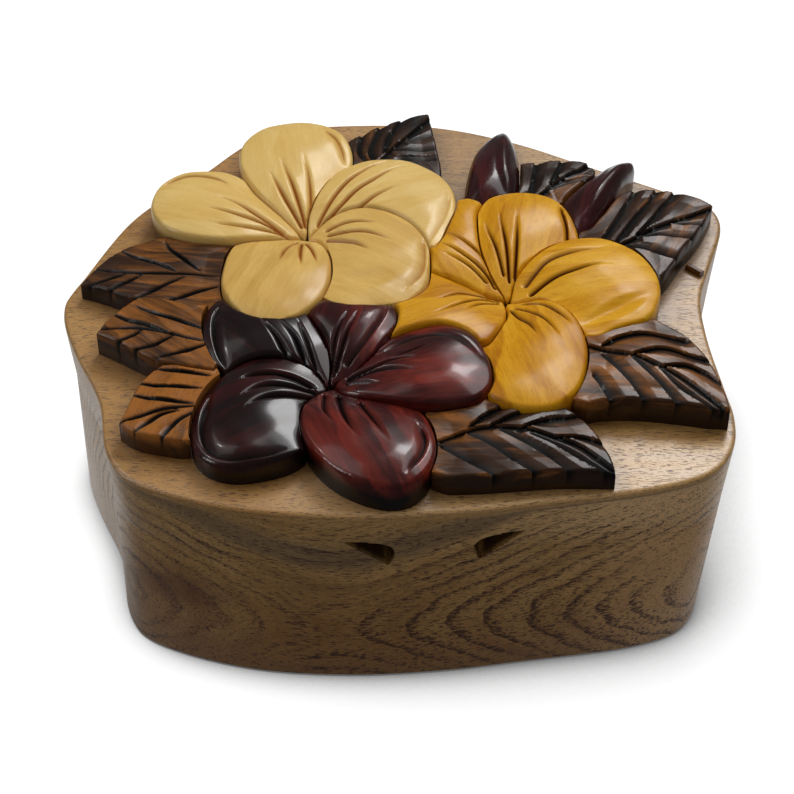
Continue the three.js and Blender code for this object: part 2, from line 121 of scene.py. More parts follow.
# Mesh steps
WALL_STEP = 1.2
FIT_STEP = 1.3
FIT_MARGIN = 1.2
CARVING_STEP = 0.36
LINE_STEP = 0.26
VEIN_STEP = 0.08
CORNER_TURN = 38

# How far inside its node each kind of outline lies
OUTLINE_INSET = 0.04
LID_INSET = 0.08
PLATE_INSET = 0.03
DISC_INSET = 0.02

# Flower hearts in X and Y, from the CAD part. Grain and grooves run towards them.
HEARTS = {"cream": (-24.3, 18.8), "yellow": (25.3, -7.2), "red": (-16.4, -38.8)}


# Outlines are arrays of points, counter-clockwise


def turned_left(outline):
    x, y = outline[:, 0], outline[:, 1]
    area = np.sum(x * np.roll(y, -1) - np.roll(x, -1) * y)
    return outline if area > 0 else outline[::-1]


def loops_at(node, height):
    """The closed edges of a CAD node's flat face at one height, longest first."""
    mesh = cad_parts[node].data
    points = np.array([vertex.co for vertex in mesh.vertices]) / MM
    keys = [tuple(key) for key in np.round(points, 2)]
    edges = {}
    for face in mesh.polygons:
        corners = [keys[index] for index in face.vertices]
        if all(abs(corner[2] - height) < 0.02 for corner in corners):
            for start, end in zip(corners, corners[1:] + corners[:1]):
                edges[(start, end)] = True
    onward = {start: end for start, end in edges if (end, start) not in edges}
    loops = []
    while onward:
        start, point = onward.popitem()
        loop = [start]
        while point != start:
            loop.append(point)
            point = onward.pop(point)
        loops.append(turned_left(np.array(loop)[:, :2]))
    return sorted(loops, key=len, reverse=True)


def curve_through(points, step, closed):
    """A centripetal Catmull-Rom curve through the points, in even steps."""
    points = np.asarray(points, float)
    if closed:
        padded = np.concatenate([points[-1:], points, points[:2]])
    else:
        padded = np.concatenate([2 * points[:1] - points[1:2], points, 2 * points[-1:] - points[-2:-1]])
    pieces = []
    for a, b, c, d in zip(padded, padded[1:], padded[2:], padded[3:]):
        t1 = max(np.linalg.norm(b - a), 1e-6) ** 0.5
        t2 = t1 + max(np.linalg.norm(c - b), 1e-6) ** 0.5
        t3 = t2 + max(np.linalg.norm(d - c), 1e-6) ** 0.5
        t = np.linspace(t1, t2, 12, endpoint=False)[:, None]
        ab = (t1 - t) / t1 * a + t / t1 * b
        bc = (t2 - t) / (t2 - t1) * b + (t - t1) / (t2 - t1) * c
        cd = (t3 - t) / (t3 - t2) * c + (t - t2) / (t3 - t2) * d
        abc = (t2 - t) / t2 * ab + t / t2 * bc
        bcd = (t3 - t) / (t3 - t1) * bc + (t - t1) / (t3 - t1) * cd
        pieces.append((t2 - t) / (t2 - t1) * abc + (t - t1) / (t2 - t1) * bcd)
    fine = np.concatenate(pieces + [points[:1] if closed else points[-1:]])
    run = np.concatenate([[0], np.cumsum(np.linalg.norm(np.diff(fine, axis=0), axis=1))])
    count = max(2, round(run[-1] / step))
    places = np.linspace(0, run[-1], count + 1)
    even = np.stack([np.interp(places, run, fine[:, axis]) for axis in range(2)], 1)
    return even[:-1] if closed else even


def with_corners(loop, step):
    """A smooth line round a loop that keeps its corners sharp."""
    before = loop - np.roll(loop, 1, 0)
    after = np.roll(loop, -1, 0) - loop
    turn = np.degrees(np.abs(np.arctan2(
        before[:, 0] * after[:, 1] - before[:, 1] * after[:, 0], np.sum(before * after, 1))))
    corners = np.flatnonzero(turn > CORNER_TURN)
    if len(corners) == 0:
        return curve_through(loop, step, True)
    stretches = []
    for start, end in zip(corners, np.append(corners[1:], corners[0] + len(loop))):
        points = loop[np.arange(start, end + 1) % len(loop)]
        stretches.append(curve_through(points, step, False)[:-1])
    return np.concatenate(stretches)


def left_of(along):
    """The unit directions to the left of some directions."""
    along = along / np.linalg.norm(along, axis=1)[:, None]
    return np.stack([-along[:, 1], along[:, 0]], 1)


def grown(outline, distance):
    along = np.roll(outline, -1, 0) - np.roll(outline, 1, 0)
    return outline - left_of(along) * distance


def inside(points, outline):
    x, y = points[:, 0][:, None], points[:, 1][:, None]
    start, end = outline, np.roll(outline, -1, 0)
    spans = (start[:, 1] > y) != (end[:, 1] > y)
    rise = np.where(start[:, 1] == end[:, 1], 1, end[:, 1] - start[:, 1])
    crossing = (end[:, 0] - start[:, 0]) * (y - start[:, 1]) / rise + start[:, 0]
    return np.sum(spans & (x < crossing), 1) % 2 == 1


def beside_line(points, line, closed=False):
    """Each point's distance to a line, its side of it (1 is left) and its place along it."""
    start = line if closed else line[:-1]
    end = np.roll(line, -1, 0) if closed else line[1:]
    along = end - start
    length = np.linalg.norm(along, axis=1)
    offset = points[:, None, :] - start
    share = np.clip(np.sum(offset * along, 2) / length ** 2, 0, 1)
    gap = offset - share[..., None] * along
    distance = np.linalg.norm(gap, axis=2)
    nearest = np.argmin(distance, 1)
    rows = np.arange(len(points))
    cross = along[nearest, 0] * offset[rows, nearest, 1] - along[nearest, 1] * offset[rows, nearest, 0]
    place = (np.cumsum(length)[nearest] - length[nearest] * (1 - share[rows, nearest])) / length.sum()
    return distance[rows, nearest], np.sign(cross), place


def box_of(node):
    """A node's lowest and highest corners, in mm."""
    return [np.array(corner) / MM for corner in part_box(node)]


def smooth_outline(node, height, rank=0):
    """The edge of a node's flat face at a height, by its rank in length."""
    return curve_through(loops_at(node, height)[rank], WALL_STEP, True)


# Meshes


def shown(name, data):
    thing = bpy.data.objects.new(name, data)
    bpy.context.scene.collection.objects.link(thing)
    return thing


def finish_edges(mesh, angle=SAWN_ANGLE):
    mesh.shade_smooth()
    mesh.set_sharp_from_angle(angle=math.radians(angle))


def make_piece(name, points, faces, angle=SAWN_ANGLE):
    mesh = bpy.data.meshes.new(name)
    mesh.from_pydata((np.asarray(points) * MM).tolist(), [], faces)
    mesh.validate()
    finish_edges(mesh, angle)
    return shown(name, mesh)


def stacked(name, rings):
    """A closed solid skinned over rings, each an outline and its height, from the bottom up."""
    count = len(rings[0][0])
    points = np.concatenate([np.column_stack([outline, np.full(count, z)]) for outline, z in rings])
    faces = [list(range(count))[::-1]]
    around = np.arange(count)
    onward = (around + 1) % count
    for low in range(0, (len(rings) - 1) * count, count):
        high = low + count
        faces += np.stack([low + around, low + onward, high + onward, high + around], 1).tolist()
    faces.append([(len(rings) - 1) * count + index for index in range(count)])
    return make_piece(name, points, faces)


def rounded_stack(low_outline, high_outline, low, high, low_edge, high_edge):
    """Rings of a drafted block whose bottom and top edges are sanded round."""
    bottom = [(grown(low_outline, -low_edge - 0.5), low)]
    top = [(grown(high_outline, -high_edge - 0.5), high)]
    for angle in (0, 22, 45, 68, 90):
        turn = math.radians(angle)
        inward, up = 1 - math.sin(turn), 1 - math.cos(turn)
        bottom.append((grown(low_outline, -low_edge * inward), low + low_edge * up))
        top.append((grown(high_outline, -high_edge * inward), high - high_edge * up))
    return bottom + top[::-1]


def along_y(name, profile):
    """A profile drawn in X and Z, drawn out along Y past both walls."""
    count = len(profile)
    points = [(x, y, z) for y in (-RUN_HALF, RUN_HALF) for x, z in profile]
    faces = [list(range(count)), list(range(count, 2 * count))[::-1]]
    for index in range(count):
        onward = (index + 1) % count
        faces.append([onward, index, count + index, count + onward])
    return make_piece(name, points, faces)


def keep_result(piece, modifier):
    """Makes what a modifier turns a piece into the piece's own mesh."""
    bpy.context.view_layer.update()
    result = piece.evaluated_get(bpy.context.evaluated_depsgraph_get())
    mesh = bpy.data.meshes.new_from_object(result)
    piece.modifiers.remove(modifier)
    piece.data = mesh


def combine(piece, tool, operation):
    """Adds a tool to a piece, cuts it out, or keeps what they share. The tool is used up."""
    modifier = piece.modifiers.new("Cut", "BOOLEAN")
    modifier.operation = operation
    modifier.solver = "EXACT"
    modifier.object = tool
    keep_result(piece, modifier)
    bpy.data.objects.remove(tool)
    return piece


# Shader maths


class Value:
    """A socket that takes part in arithmetic."""

    def __init__(self, nodes, socket):
        self.nodes = nodes
        self.socket = socket

    def maths(self, operation, *values):
        return self.nodes.node("ShaderNodeMath", {"operation": operation}, dict(enumerate(values)))

    def __add__(self, other):
        return self.maths("ADD", self, other)

    def __radd__(self, other):
        return self.maths("ADD", other, self)

    def __sub__(self, other):
        return self.maths("SUBTRACT", self, other)

    def __rsub__(self, other):
        return self.maths("SUBTRACT", other, self)

    def __mul__(self, other):
        return self.maths("MULTIPLY", self, other)

    def __rmul__(self, other):
        return self.maths("MULTIPLY", other, self)

    def __truediv__(self, other):
        return self.maths("DIVIDE", self, other)

    def __pow__(self, other):
        return self.maths("POWER", self, other)

    def part_of_whole(self):
        return self.maths("FRACT", self)

    def at_least(self, lowest):
        return self.maths("MAXIMUM", self, lowest)

    def more_than(self, limit):
        return self.maths("GREATER_THAN", self, limit)

    def unsigned(self):
        return self.maths("ABSOLUTE", self)


class Nodes:
    """A node tree under construction."""

    def __init__(self, tree):
        self.tree = tree

    def node(self, kind, settings, sockets, output=0):
        """A node with its settings, its sockets' values or links, and one of its outputs."""
        node = self.tree.nodes.new(kind)
        for name, setting in settings.items():
            if name == "stops":
                self.set_stops(node.color_ramp, setting)
            else:
                setattr(node, name, setting)
        for name, value in sockets.items():
            self.feed(node.inputs[name], value)
        return Value(self, node.outputs[output])

    def set_stops(self, ramp, stops):
        """Stops are pairs of a place and a colour, lowest place first."""
        ramp.elements[0].position = stops[0][0]
        ramp.elements[1].position = stops[-1][0]
        for place, tone in stops[1:-1]:
            ramp.elements.new(place)
        for element, (place, tone) in zip(ramp.elements, stops):
            element.color = tone

    def feed(self, socket, value):
        if isinstance(value, Value):
            self.tree.links.new(value.socket, socket)
        else:
            socket.default_value = value

    def vector(self, operation, *values, output=0):
        return self.node("ShaderNodeVectorMath", {"operation": operation}, dict(enumerate(values)), output)

    def axes(self, vector, names="XYZ"):
        return [self.node("ShaderNodeSeparateXYZ", {}, {0: vector}, axis) for axis in names]

    def joined(self, **parts):
        return self.node("ShaderNodeCombineXYZ", {}, parts)


class Finish(Nodes):
    """A material and its nodes."""

    def __init__(self, name):
        self.material = bpy.data.materials.new(name)
        self.material.use_nodes = True
        super().__init__(self.material.node_tree)
        self.surface = self.tree.nodes["Principled BSDF"]

    def set(self, **sockets):
        for name, value in sockets.items():
            self.feed(self.surface.inputs[name.replace("_", " ")], value)

    def place(self):
        return self.node("ShaderNodeTexCoord", {}, {}, "Object")

    def attribute(self, name, output="Fac"):
        return self.node("ShaderNodeAttribute", {"attribute_name": name}, {}, output)

    def noise(self, vector, stretch, detail=2.0, roughness=0.5, distortion=0.0):
        """Clouds from 0 to 1, as fine along each axis as stretch says."""
        sockets = {"Vector": self.vector("MULTIPLY", vector, stretch), "Scale": 1.0, "Detail": detail,
                   "Roughness": roughness, "Distortion": distortion}
        return self.node("ShaderNodeTexNoise", {}, sockets, "Fac")

    def band(self, value, low, high, start=0.0, end=1.0):
        """value from low to high becomes start to end, with soft ends."""
        settings = {"interpolation_type": "SMOOTHSTEP"}
        sockets = {"Value": value, "From Min": low, "From Max": high, "To Min": start, "To Max": end}
        return self.node("ShaderNodeMapRange", settings, sockets)

    def ramp(self, value, places, tones):
        return self.node("ShaderNodeValToRGB", {"stops": list(zip(places, tones))}, {"Fac": value}, "Color")

    def blend(self, share, first, second, way="MIX"):
        settings = {"data_type": "RGBA", "blend_type": way}
        return self.node("ShaderNodeMix", settings, {0: share, 6: first, 7: second}, 2)

    def bump(self, height, distance, strength):
        sockets = {"Height": height, "Distance": distance, "Strength": strength}
        return self.node("ShaderNodeBump", {}, sockets)

    def shade(self, samples, **sockets):
        """1 in corners that are narrower than Distance, in metres, and 0 in the open."""
        return 1.0 - self.node("ShaderNodeAmbientOcclusion", {"samples": samples}, sockets, "AO")


def colour(red, green, blue):
    """A colour given as screen values from 0 to 255."""
    shares = [value / 255 for value in (red, green, blue)]
    linear = [s / 12.92 if s <= 0.04045 else ((s + 0.055) / 1.055) ** 2.4 for s in shares]
    return (*linear, 1)


def add_pores(wood, along, base, pore_tone, share, crowding):
    """Short dark pores that lie along the grain, closer together where crowding is high."""
    dashes = wood.noise(along, (0.48, 3.3, 3.3), 1.5)
    flecks = wood.noise(along, (1.1, 6.0, 6.0), 1.0)
    pores = wood.band(dashes + crowding, 0.6, 0.68) * 0.75 + wood.band(flecks + crowding, 0.64, 0.72) * 0.5
    return wood.blend(pores * share, base, pore_tone), pores


def box_marks(wood, x, y, z, ring, ripple):
    """What shows on the box besides its figure, painted light and shade among it: where each mark lies, its
    strength and its colour.
    """
    top = wood.band(z, 53, 54.5)
    lid_side = wood.band(z, 54, 52)
    front = wood.band(y, -30, -50)
    stain = ((x + 52) * (x + 52) / 110 + (z - 23) * (z - 23) / 30) ** 0.5
    # Painted shade in the slots of the joint
    joint = wood.band((x - TENON_X).unsigned(), 22, 21) * wood.band(z, 38.2, 39.2) * wood.band(z, 47.5, 46.5)
    joint = joint * wood.band(y - x * JOINT_TURN, JOINT_Y, JOINT_Y + 1.5) * wood.band(y, 68, 65)
    return (
        # Painted shade: the front darker and warmer towards the foot
        (wood.band(z, 46, 4) * wood.band(y, -30, -60), 0.45, colour(138, 80, 34)),
        # Painted light along the lid's left edge, and painted shade, darker and warmer, over the left of the
        # top
        (wood.band(x, -66, -78) * wood.band(z, 50, 54), 0.4, colour(214, 174, 112)),
        (wood.band(x, 20, -30) * top, 0.4, colour(174, 116, 42)),
        # Painted light at the front's right, on the lid and below it, and along the lid's front edge
        (wood.band(x, 30, 66) * front * lid_side, 0.6, colour(224, 174, 116)),
        (wood.band(x, 0, 60) * front * wood.band(z, 38, 48) * lid_side, 0.8, colour(232, 188, 132)),
        (wood.band(y, -52, -66) * wood.band(x, -40, -5) * top, 0.4, colour(222, 180, 122)),
        # A grey ring in the front, and a dark stain at its left
        (wood.band(ring, 22, 25) * wood.band(ring, 33, 28) * wood.band(y, -50, -66), 0.55,
         colour(96, 82, 64)),
        (wood.band(stain + ripple, 2.2, 0.9) * front, 0.55, colour(88, 40, 24)),
        # Painted shade in the joint, and painted shade on the lid where the carvings meet it
        (joint, 0.8, colour(40, 26, 14)),
        # Painted shade, from occlusion, on the lid close round the carvings' feet
        (wood.shade(8, Distance=0.007) * wood.band(z, 54, 54.5), 0.9, colour(70, 38, 12)),
    )


def make_box_wood(name, heart, saddle, step, tones, line_tone, pore_tone, marked=True):
    """Tan hardwood with fine dark pores. Its growth rings lie round a heart that runs along X, given
    as a place in Y and Z, and draw together at a saddle on the front, given as a place in X."""
    wood = Finish(name)
    point = wood.vector("MULTIPLY", wood.place(), (1 / MM, 1 / MM, 1 / MM))
    x, y, z = wood.axes(point)
    sway = wood.noise(point, (0.02, 0.03, 0.03), 1.0)
    ripple = wood.noise(point, (0.09, 0.14, 0.14))
    up = z - heart[1]
    out = (up * up + 200.0) ** 0.5 + (y - heart[0]).at_least(0.0) * 0.6
    beside = ((x - saddle) * (x - saddle) + 90.0) ** 0.5
    arcs = beside * wood.band(y, -40, 0, 0.4, 0.0) * wood.band(z, 54.5, 51.5)
    ring = out - arcs + sway * 4.0 + ripple * 3.0
    along = wood.joined(X=x, Y=ring, Z=y)
    level = wood.joined(X=x, Y=z * 0.75 + ring * 0.25, Z=y + sway * 8.0)
    streak = wood.noise(along, (0.02, 0.34, 0.34), 4.0, 0.6)
    fine = wood.noise(along, (0.14, 2.4, 2.4), 2.0, 0.6)
    patch = wood.noise(point, (0.02, 0.04, 0.04))
    tone = (streak - 0.5) * 1.1 + (patch - 0.5) * 0.7 + (fine - 0.5) * 0.5 + 0.5
    base = wood.ramp(tone, (0.15, 0.5, 0.85), tones)
    growth = (ring / step).part_of_whole()
    line = wood.band(growth, 0.5, 0.88) * wood.band(growth, 1.0, 0.92)
    line = line * wood.band(patch, 0.36, 0.6, 0.15, 1.0) * wood.band(z, 50, 40, 0.4, 1.0)
    base = wood.blend(line * 0.25, base, line_tone)
    for place, strength, mark_tone in box_marks(wood, x, y, z, ring, ripple) if marked else ():
        base = wood.blend(place * strength, base, mark_tone)
    crowding = (line * 0.13 + (patch - 0.5) * 0.12) * wood.band(z, 54.3, 53, 0.35, 1.0) + 0.03
    base, pores = add_pores(wood, level, base, pore_tone, 0.95, crowding)
    height = fine * 0.3 - pores * 0.7
    wood.set(Base_Color=base, Roughness=0.36 + (streak - 0.5) * 0.14 + pores * 0.12,
             Normal=wood.bump(height, 0.00005, 0.5), Specular_IOR_Level=1.0)
    return wood.material


def make_carved_wood(name, tones, pore_tone, ring_step, ring_share, streak_share, pore_share, patch_share,
                     roughness, coat, coat_roughness, side_shade_share, side_shade_tone, groove_stain_and_shade=None,
                     groove_full=1.0):
    """Lacquered wood for carvings. It reads four attributes of a piece: grain, the place in the
    carver's board, in mm, with the grain along X, tone, how light that part of the board is, groove,
    how deep a cut is, and top, which is 0 at the foot of the sides."""
    wood = Finish(name)
    point = wood.attribute("grain", "Vector")
    across, up = wood.axes(point, "YZ")
    sway = wood.noise(point, (0.03, 0.06, 0.06))
    ring = (across * across + up * up) ** 0.5 + sway * 16.0
    growth = (ring / ring_step).part_of_whole()
    rings = wood.band(growth, 0.0, 0.85) * wood.band(growth, 1.0, 0.9)
    streak = wood.noise(point, (0.05, 0.8, 0.8), 4.0, 0.6, 0.4)
    fine = wood.noise(point, (0.2, 3.0, 3.0), 2.0, 0.6)
    patch = wood.noise(point, (0.04, 0.09, 0.09))
    tone = (0.4 - rings) * ring_share + (streak - 0.5) * streak_share * 2 + (patch - 0.5) * patch_share * 2
    tone = tone + (fine - 0.5) * streak_share * 0.7 + wood.attribute("tone")
    base = wood.ramp(tone, (0.1, 0.5, 0.9), tones)
    base, pores = add_pores(wood, point, base, pore_tone, pore_share, (patch - 0.5) * 0.1)
    # Painted shade: the sides darken towards their foot
    base = wood.blend(wood.band(wood.attribute("top"), 1.0, 0.45) * side_shade_share, base, side_shade_tone)
    cut = wood.attribute("groove")
    # Stain and painted shade darken the cuts, more where they are deeper
    if groove_stain_and_shade:
        base = wood.blend(wood.band(cut, 0.0, groove_full), base, groove_stain_and_shade, "MULTIPLY")
    height = fine * 0.3 - pores * 0.5
    wood.set(Base_Color=base, Roughness=roughness + (streak - 0.5) * 0.12 + pores * 0.08 + cut * 0.25,
             Normal=wood.bump(height, 0.00003, 0.4), Coat_Weight=coat - cut * coat * 0.9,
             Coat_Roughness=coat_roughness, Specular_IOR_Level=0.2)
    return wood.material


box_wood = make_box_wood(
    "box_wood", (-60, 17), -16, 3.3, (colour(142, 101, 46), colour(180, 136, 72), colour(206, 163, 98)),
    colour(108, 66, 30), colour(64, 26, 6))
floor_wood = make_box_wood(
    "floor_wood", (-120, -60), 20, 5.0, (colour(120, 86, 56), colour(160, 122, 84), colour(188, 152, 110)),
    colour(110, 78, 52), colour(76, 52, 34), marked=False)
carved_woods = {
    "cream": make_carved_wood(
        "cream_wood", (colour(200, 152, 72), colour(226, 186, 104), colour(238, 206, 132)),
        colour(194, 142, 70), ring_step=9.0, ring_share=0.16, streak_share=0.25, pore_share=0.25,
        patch_share=0.25, roughness=0.32, coat=0.2, coat_roughness=0.16, side_shade_share=0.9,
        side_shade_tone=colour(96, 58, 18), groove_stain_and_shade=colour(188, 136, 92), groove_full=0.9),
    "yellow": make_carved_wood(
        "yellow_wood", (colour(176, 108, 8), colour(214, 150, 16), colour(232, 174, 42)),
        colour(150, 86, 10), ring_step=8.0, ring_share=0.3, streak_share=0.4, pore_share=0.4,
        patch_share=0.4, roughness=0.34, coat=0.14, coat_roughness=0.18, side_shade_share=0.9,
        side_shade_tone=colour(88, 46, 6), groove_stain_and_shade=colour(96, 44, 16), groove_full=0.8),
    "red": make_carved_wood(
        "red_wood", (colour(22, 6, 7), colour(60, 16, 14), colour(126, 40, 26)),
        colour(20, 5, 5), ring_step=6.0, ring_share=0.16, streak_share=0.26, pore_share=0.3,
        patch_share=0.5, roughness=0.3, coat=0.5, coat_roughness=0.13, side_shade_share=1.0,
        side_shade_tone=colour(14, 5, 5), groove_stain_and_shade=colour(50, 26, 26), groove_full=0.9),
    "leaf": make_carved_wood(
        "leaf_wood", (colour(18, 12, 9), colour(60, 35, 17), colour(160, 98, 36)),
        colour(14, 9, 7), ring_step=4.0, ring_share=0.14, streak_share=0.26, pore_share=0.5,
        patch_share=0.5, roughness=0.38, coat=0.22, coat_roughness=0.16, side_shade_share=0.8,
        side_shade_tone=colour(40, 24, 14), groove_stain_and_shade=colour(12, 8, 6), groove_full=0.35),
    "bud": make_carved_wood(
        "bud_wood", (colour(30, 9, 10), colour(56, 17, 18), colour(84, 28, 26)),
        colour(22, 7, 8), ring_step=7.0, ring_share=0.3, streak_share=0.35, pore_share=0.2,
        patch_share=0.4, roughness=0.28, coat=0.5, coat_roughness=0.13, side_shade_share=0.7,
        side_shade_tone=colour(30, 9, 10)),
}


def make_felt():
    felt = Finish("felt")
    tufts = felt.noise(felt.place(), (900.0, 900.0, 900.0), 4.0, 0.7)
    clouds = felt.noise(felt.place(), (60.0, 60.0, 60.0))
    tone = felt.blend(tufts * 0.6 + clouds * 0.4, colour(34, 18, 16), colour(72, 42, 36))
    felt.set(Base_Color=tone, Roughness=0.95, Sheen_Weight=0.3, Normal=felt.bump(tufts, 0.0004, 0.8))
    return felt.material


def make_nickel():
    nickel = Finish("nickel")
    scuffs = nickel.noise(nickel.place(), (900.0, 300.0, 600.0), 4.0, 0.7)
    tone = nickel.blend(scuffs, colour(178, 180, 184), colour(214, 216, 218))
    nickel.set(Base_Color=tone, Metallic=1.0, Roughness=0.22 + scuffs * 0.15,
               Normal=nickel.bump(scuffs, 0.00002, 0.4))
    return nickel.material


felt_finish = make_felt()
nickel_finish = make_nickel()


def dress(piece, material, body, node):
    """A finished piece gets its material and its place in the moving part, and the node it stands for is
    hidden.
    """
    piece.data.materials.clear()
    piece.data.materials.append(material)
    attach(piece, body)
    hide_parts(node)


# Box and lid

lid_outline = grown(smooth_outline("lid", TOP_Z), -LID_INSET)
body_outline = grown(lid_outline, -LID_FLARE)
base_outline = grown(body_outline, -BODY_DRAFT) + np.array([BODY_LEAN, 0])
cavity_outline = smooth_outline("box_body", 0, 1)


def both_sides(side):
    """A dovetail's whole profile from its right side, which runs from the bottom up."""
    left = [(TENON_X - x, z) for x, z in reversed(side)]
    return [(TENON_X + x, z) for x, z in side] + left


def tenon_profile():
    """Curved flanks that start at the foot, hug the waist and sweep out to the top."""
    waist = TENON_WAIST / 2
    top = TENON_TOP / 2
    foot = waist + TENON_FILLET
    peak = RIM_Z + TENON_HEIGHT + TENON_CROWN
    bends = [(foot, RIM_Z), (waist - 1.2, RIM_Z + TENON_HEIGHT * 0.62),
             (waist + 1.0, RIM_Z + TENON_HEIGHT * 0.96), (top - 0.3, peak - 0.3)]
    side = [(foot, RIM_Z - TENON_ROOT)]
    for share in np.linspace(0, 1, 13):
        rest = 1 - share
        weights = (rest ** 3, 3 * rest ** 2 * share, 3 * rest * share ** 2, share ** 3)
        side.append(tuple(sum(w * bend[axis] for w, bend in zip(weights, bends)) for axis in range(2)))
    side.append((top - 0.5, peak))
    return both_sides(side)


def groove_profile():
    mouth = TENON_WAIST / 2 + TENON_FILLET + MOUTH_CLEARANCE
    top = TENON_TOP / 2 + FLANK_CLEARANCE
    ceiling = RIM_Z + TENON_HEIGHT + CEILING_CLEARANCE
    side = [(mouth, RIM_Z - TENON_ROOT), (mouth, LID_Z), (top - 0.4, ceiling - 0.3), (top - 0.5, ceiling)]
    return both_sides(side)


def round_outline(node, growth, count):
    """An even ring of points round a disc-shaped node."""
    lowest, highest = box_of(node)
    radius = (highest - lowest)[0] / 2 + growth
    turns = np.linspace(0, 2 * math.pi, count, endpoint=False)
    return (lowest + highest)[:2] / 2 + radius * np.stack([np.cos(turns), np.sin(turns)], 1)


def with_pockets(wood, magnet, low, high):
    """A piece of wood with the holes for its two magnets."""
    for side in ("left", "right"):
        ring = round_outline(f"{magnet}_{side}", POCKET_GAP, 48)
        wood = combine(wood, stacked("pocket", [(ring, low), (ring, high)]), "DIFFERENCE")
    finish_edges(wood.data)
    return wood


def make_body():
    rings = rounded_stack(base_outline, body_outline, 0, SEAM_LOW, FOOT_EDGE, SEAM_EDGE)
    body = stacked("body_wood", rings)
    upper = stacked("tenon_wood", [(body_outline, RIM_Z - TENON_ROOT), (body_outline, RIM_Z),
                                   (lid_outline, TOP_Z)])
    tenons = combine(upper, along_y("tenon_run", tenon_profile()), "INTERSECT")
    body = combine(body, tenons, "UNION")
    hollow = stacked("hollow", [(cavity_outline, -2), (cavity_outline, TOP_Z + 2)])
    body = combine(body, hollow, "DIFFERENCE")
    return with_pockets(body, "rim_magnet", RIM_Z - POCKET_DEPTH, RIM_Z + 1)


def make_lid():
    share = (LID_Z - RIM_Z) / (TOP_Z - RIM_Z)
    bottom_outline = body_outline + (lid_outline - body_outline) * share
    rings = rounded_stack(bottom_outline, lid_outline, SEAM_HIGH, TOP_Z, SEAM_EDGE, LID_EDGE)
    lid = combine(stacked("lid_wood", rings), along_y("groove_run", groove_profile()), "DIFFERENCE")
    return with_pockets(lid, "lid_magnet", LID_Z - 1, LID_Z + POCKET_DEPTH)


def make_plate(name, node, edge):
    """A flat plate on a node's own outline, with its edges eased."""
    lowest, highest = (corner[2] for corner in box_of(node))
    outline = grown(smooth_outline(node, round(lowest, 2)), -PLATE_INSET)
    return stacked(name, rounded_stack(outline, outline, lowest, highest, edge, edge))


def make_magnet(node):
    """A disc with a rounded rim."""
    lowest, highest = (corner[2] for corner in box_of(node))
    ring = round_outline(node, -DISC_INSET, 56)
    return stacked(f"{node}_disc", rounded_stack(ring, ring, lowest, highest, MAGNET_EDGE, MAGNET_EDGE))


dress(make_body(), box_wood, "box", "box_body")
dress(make_plate("bottom_wood", "bottom_panel", 0.3), floor_wood, "box", "bottom_panel")
dress(make_plate("felt_sheet", "felt_lining", 0.35), felt_finish, "box", "felt_lining")
dress(make_lid(), box_wood, "lid", "lid")
for side in ("left", "right"):
    for body, magnet in (("box", "rim_magnet"), ("lid", "lid_magnet")):
        node = f"{magnet}_{side}"
        dress(make_magnet(node), nickel_finish, body, node)


# Carvings


def groove(depth, left, right, *points, start=0.6, end=0.05, round_bottom=False):
    """A cut along a line: its depth, how far it spreads to each side, and the shares of its
    length over which it fades in and out. A negative depth is a ridge."""
    return {"depth": depth, "left": left, "right": right, "points": points, "start": start, "end": end,
            "round": round_bottom}


def rim_cut(depth, left, right, *points):
    """A cut or ridge that fades alike at both ends."""
    return groove(depth, left, right, *points, start=0.3, end=0.3)


def scoop(depth, left, right, *points, start=0.5, end=0.5):
    """A wide hollow with a round bottom."""
    return groove(depth, left, right, *points, start=start, end=end, round_bottom=True)


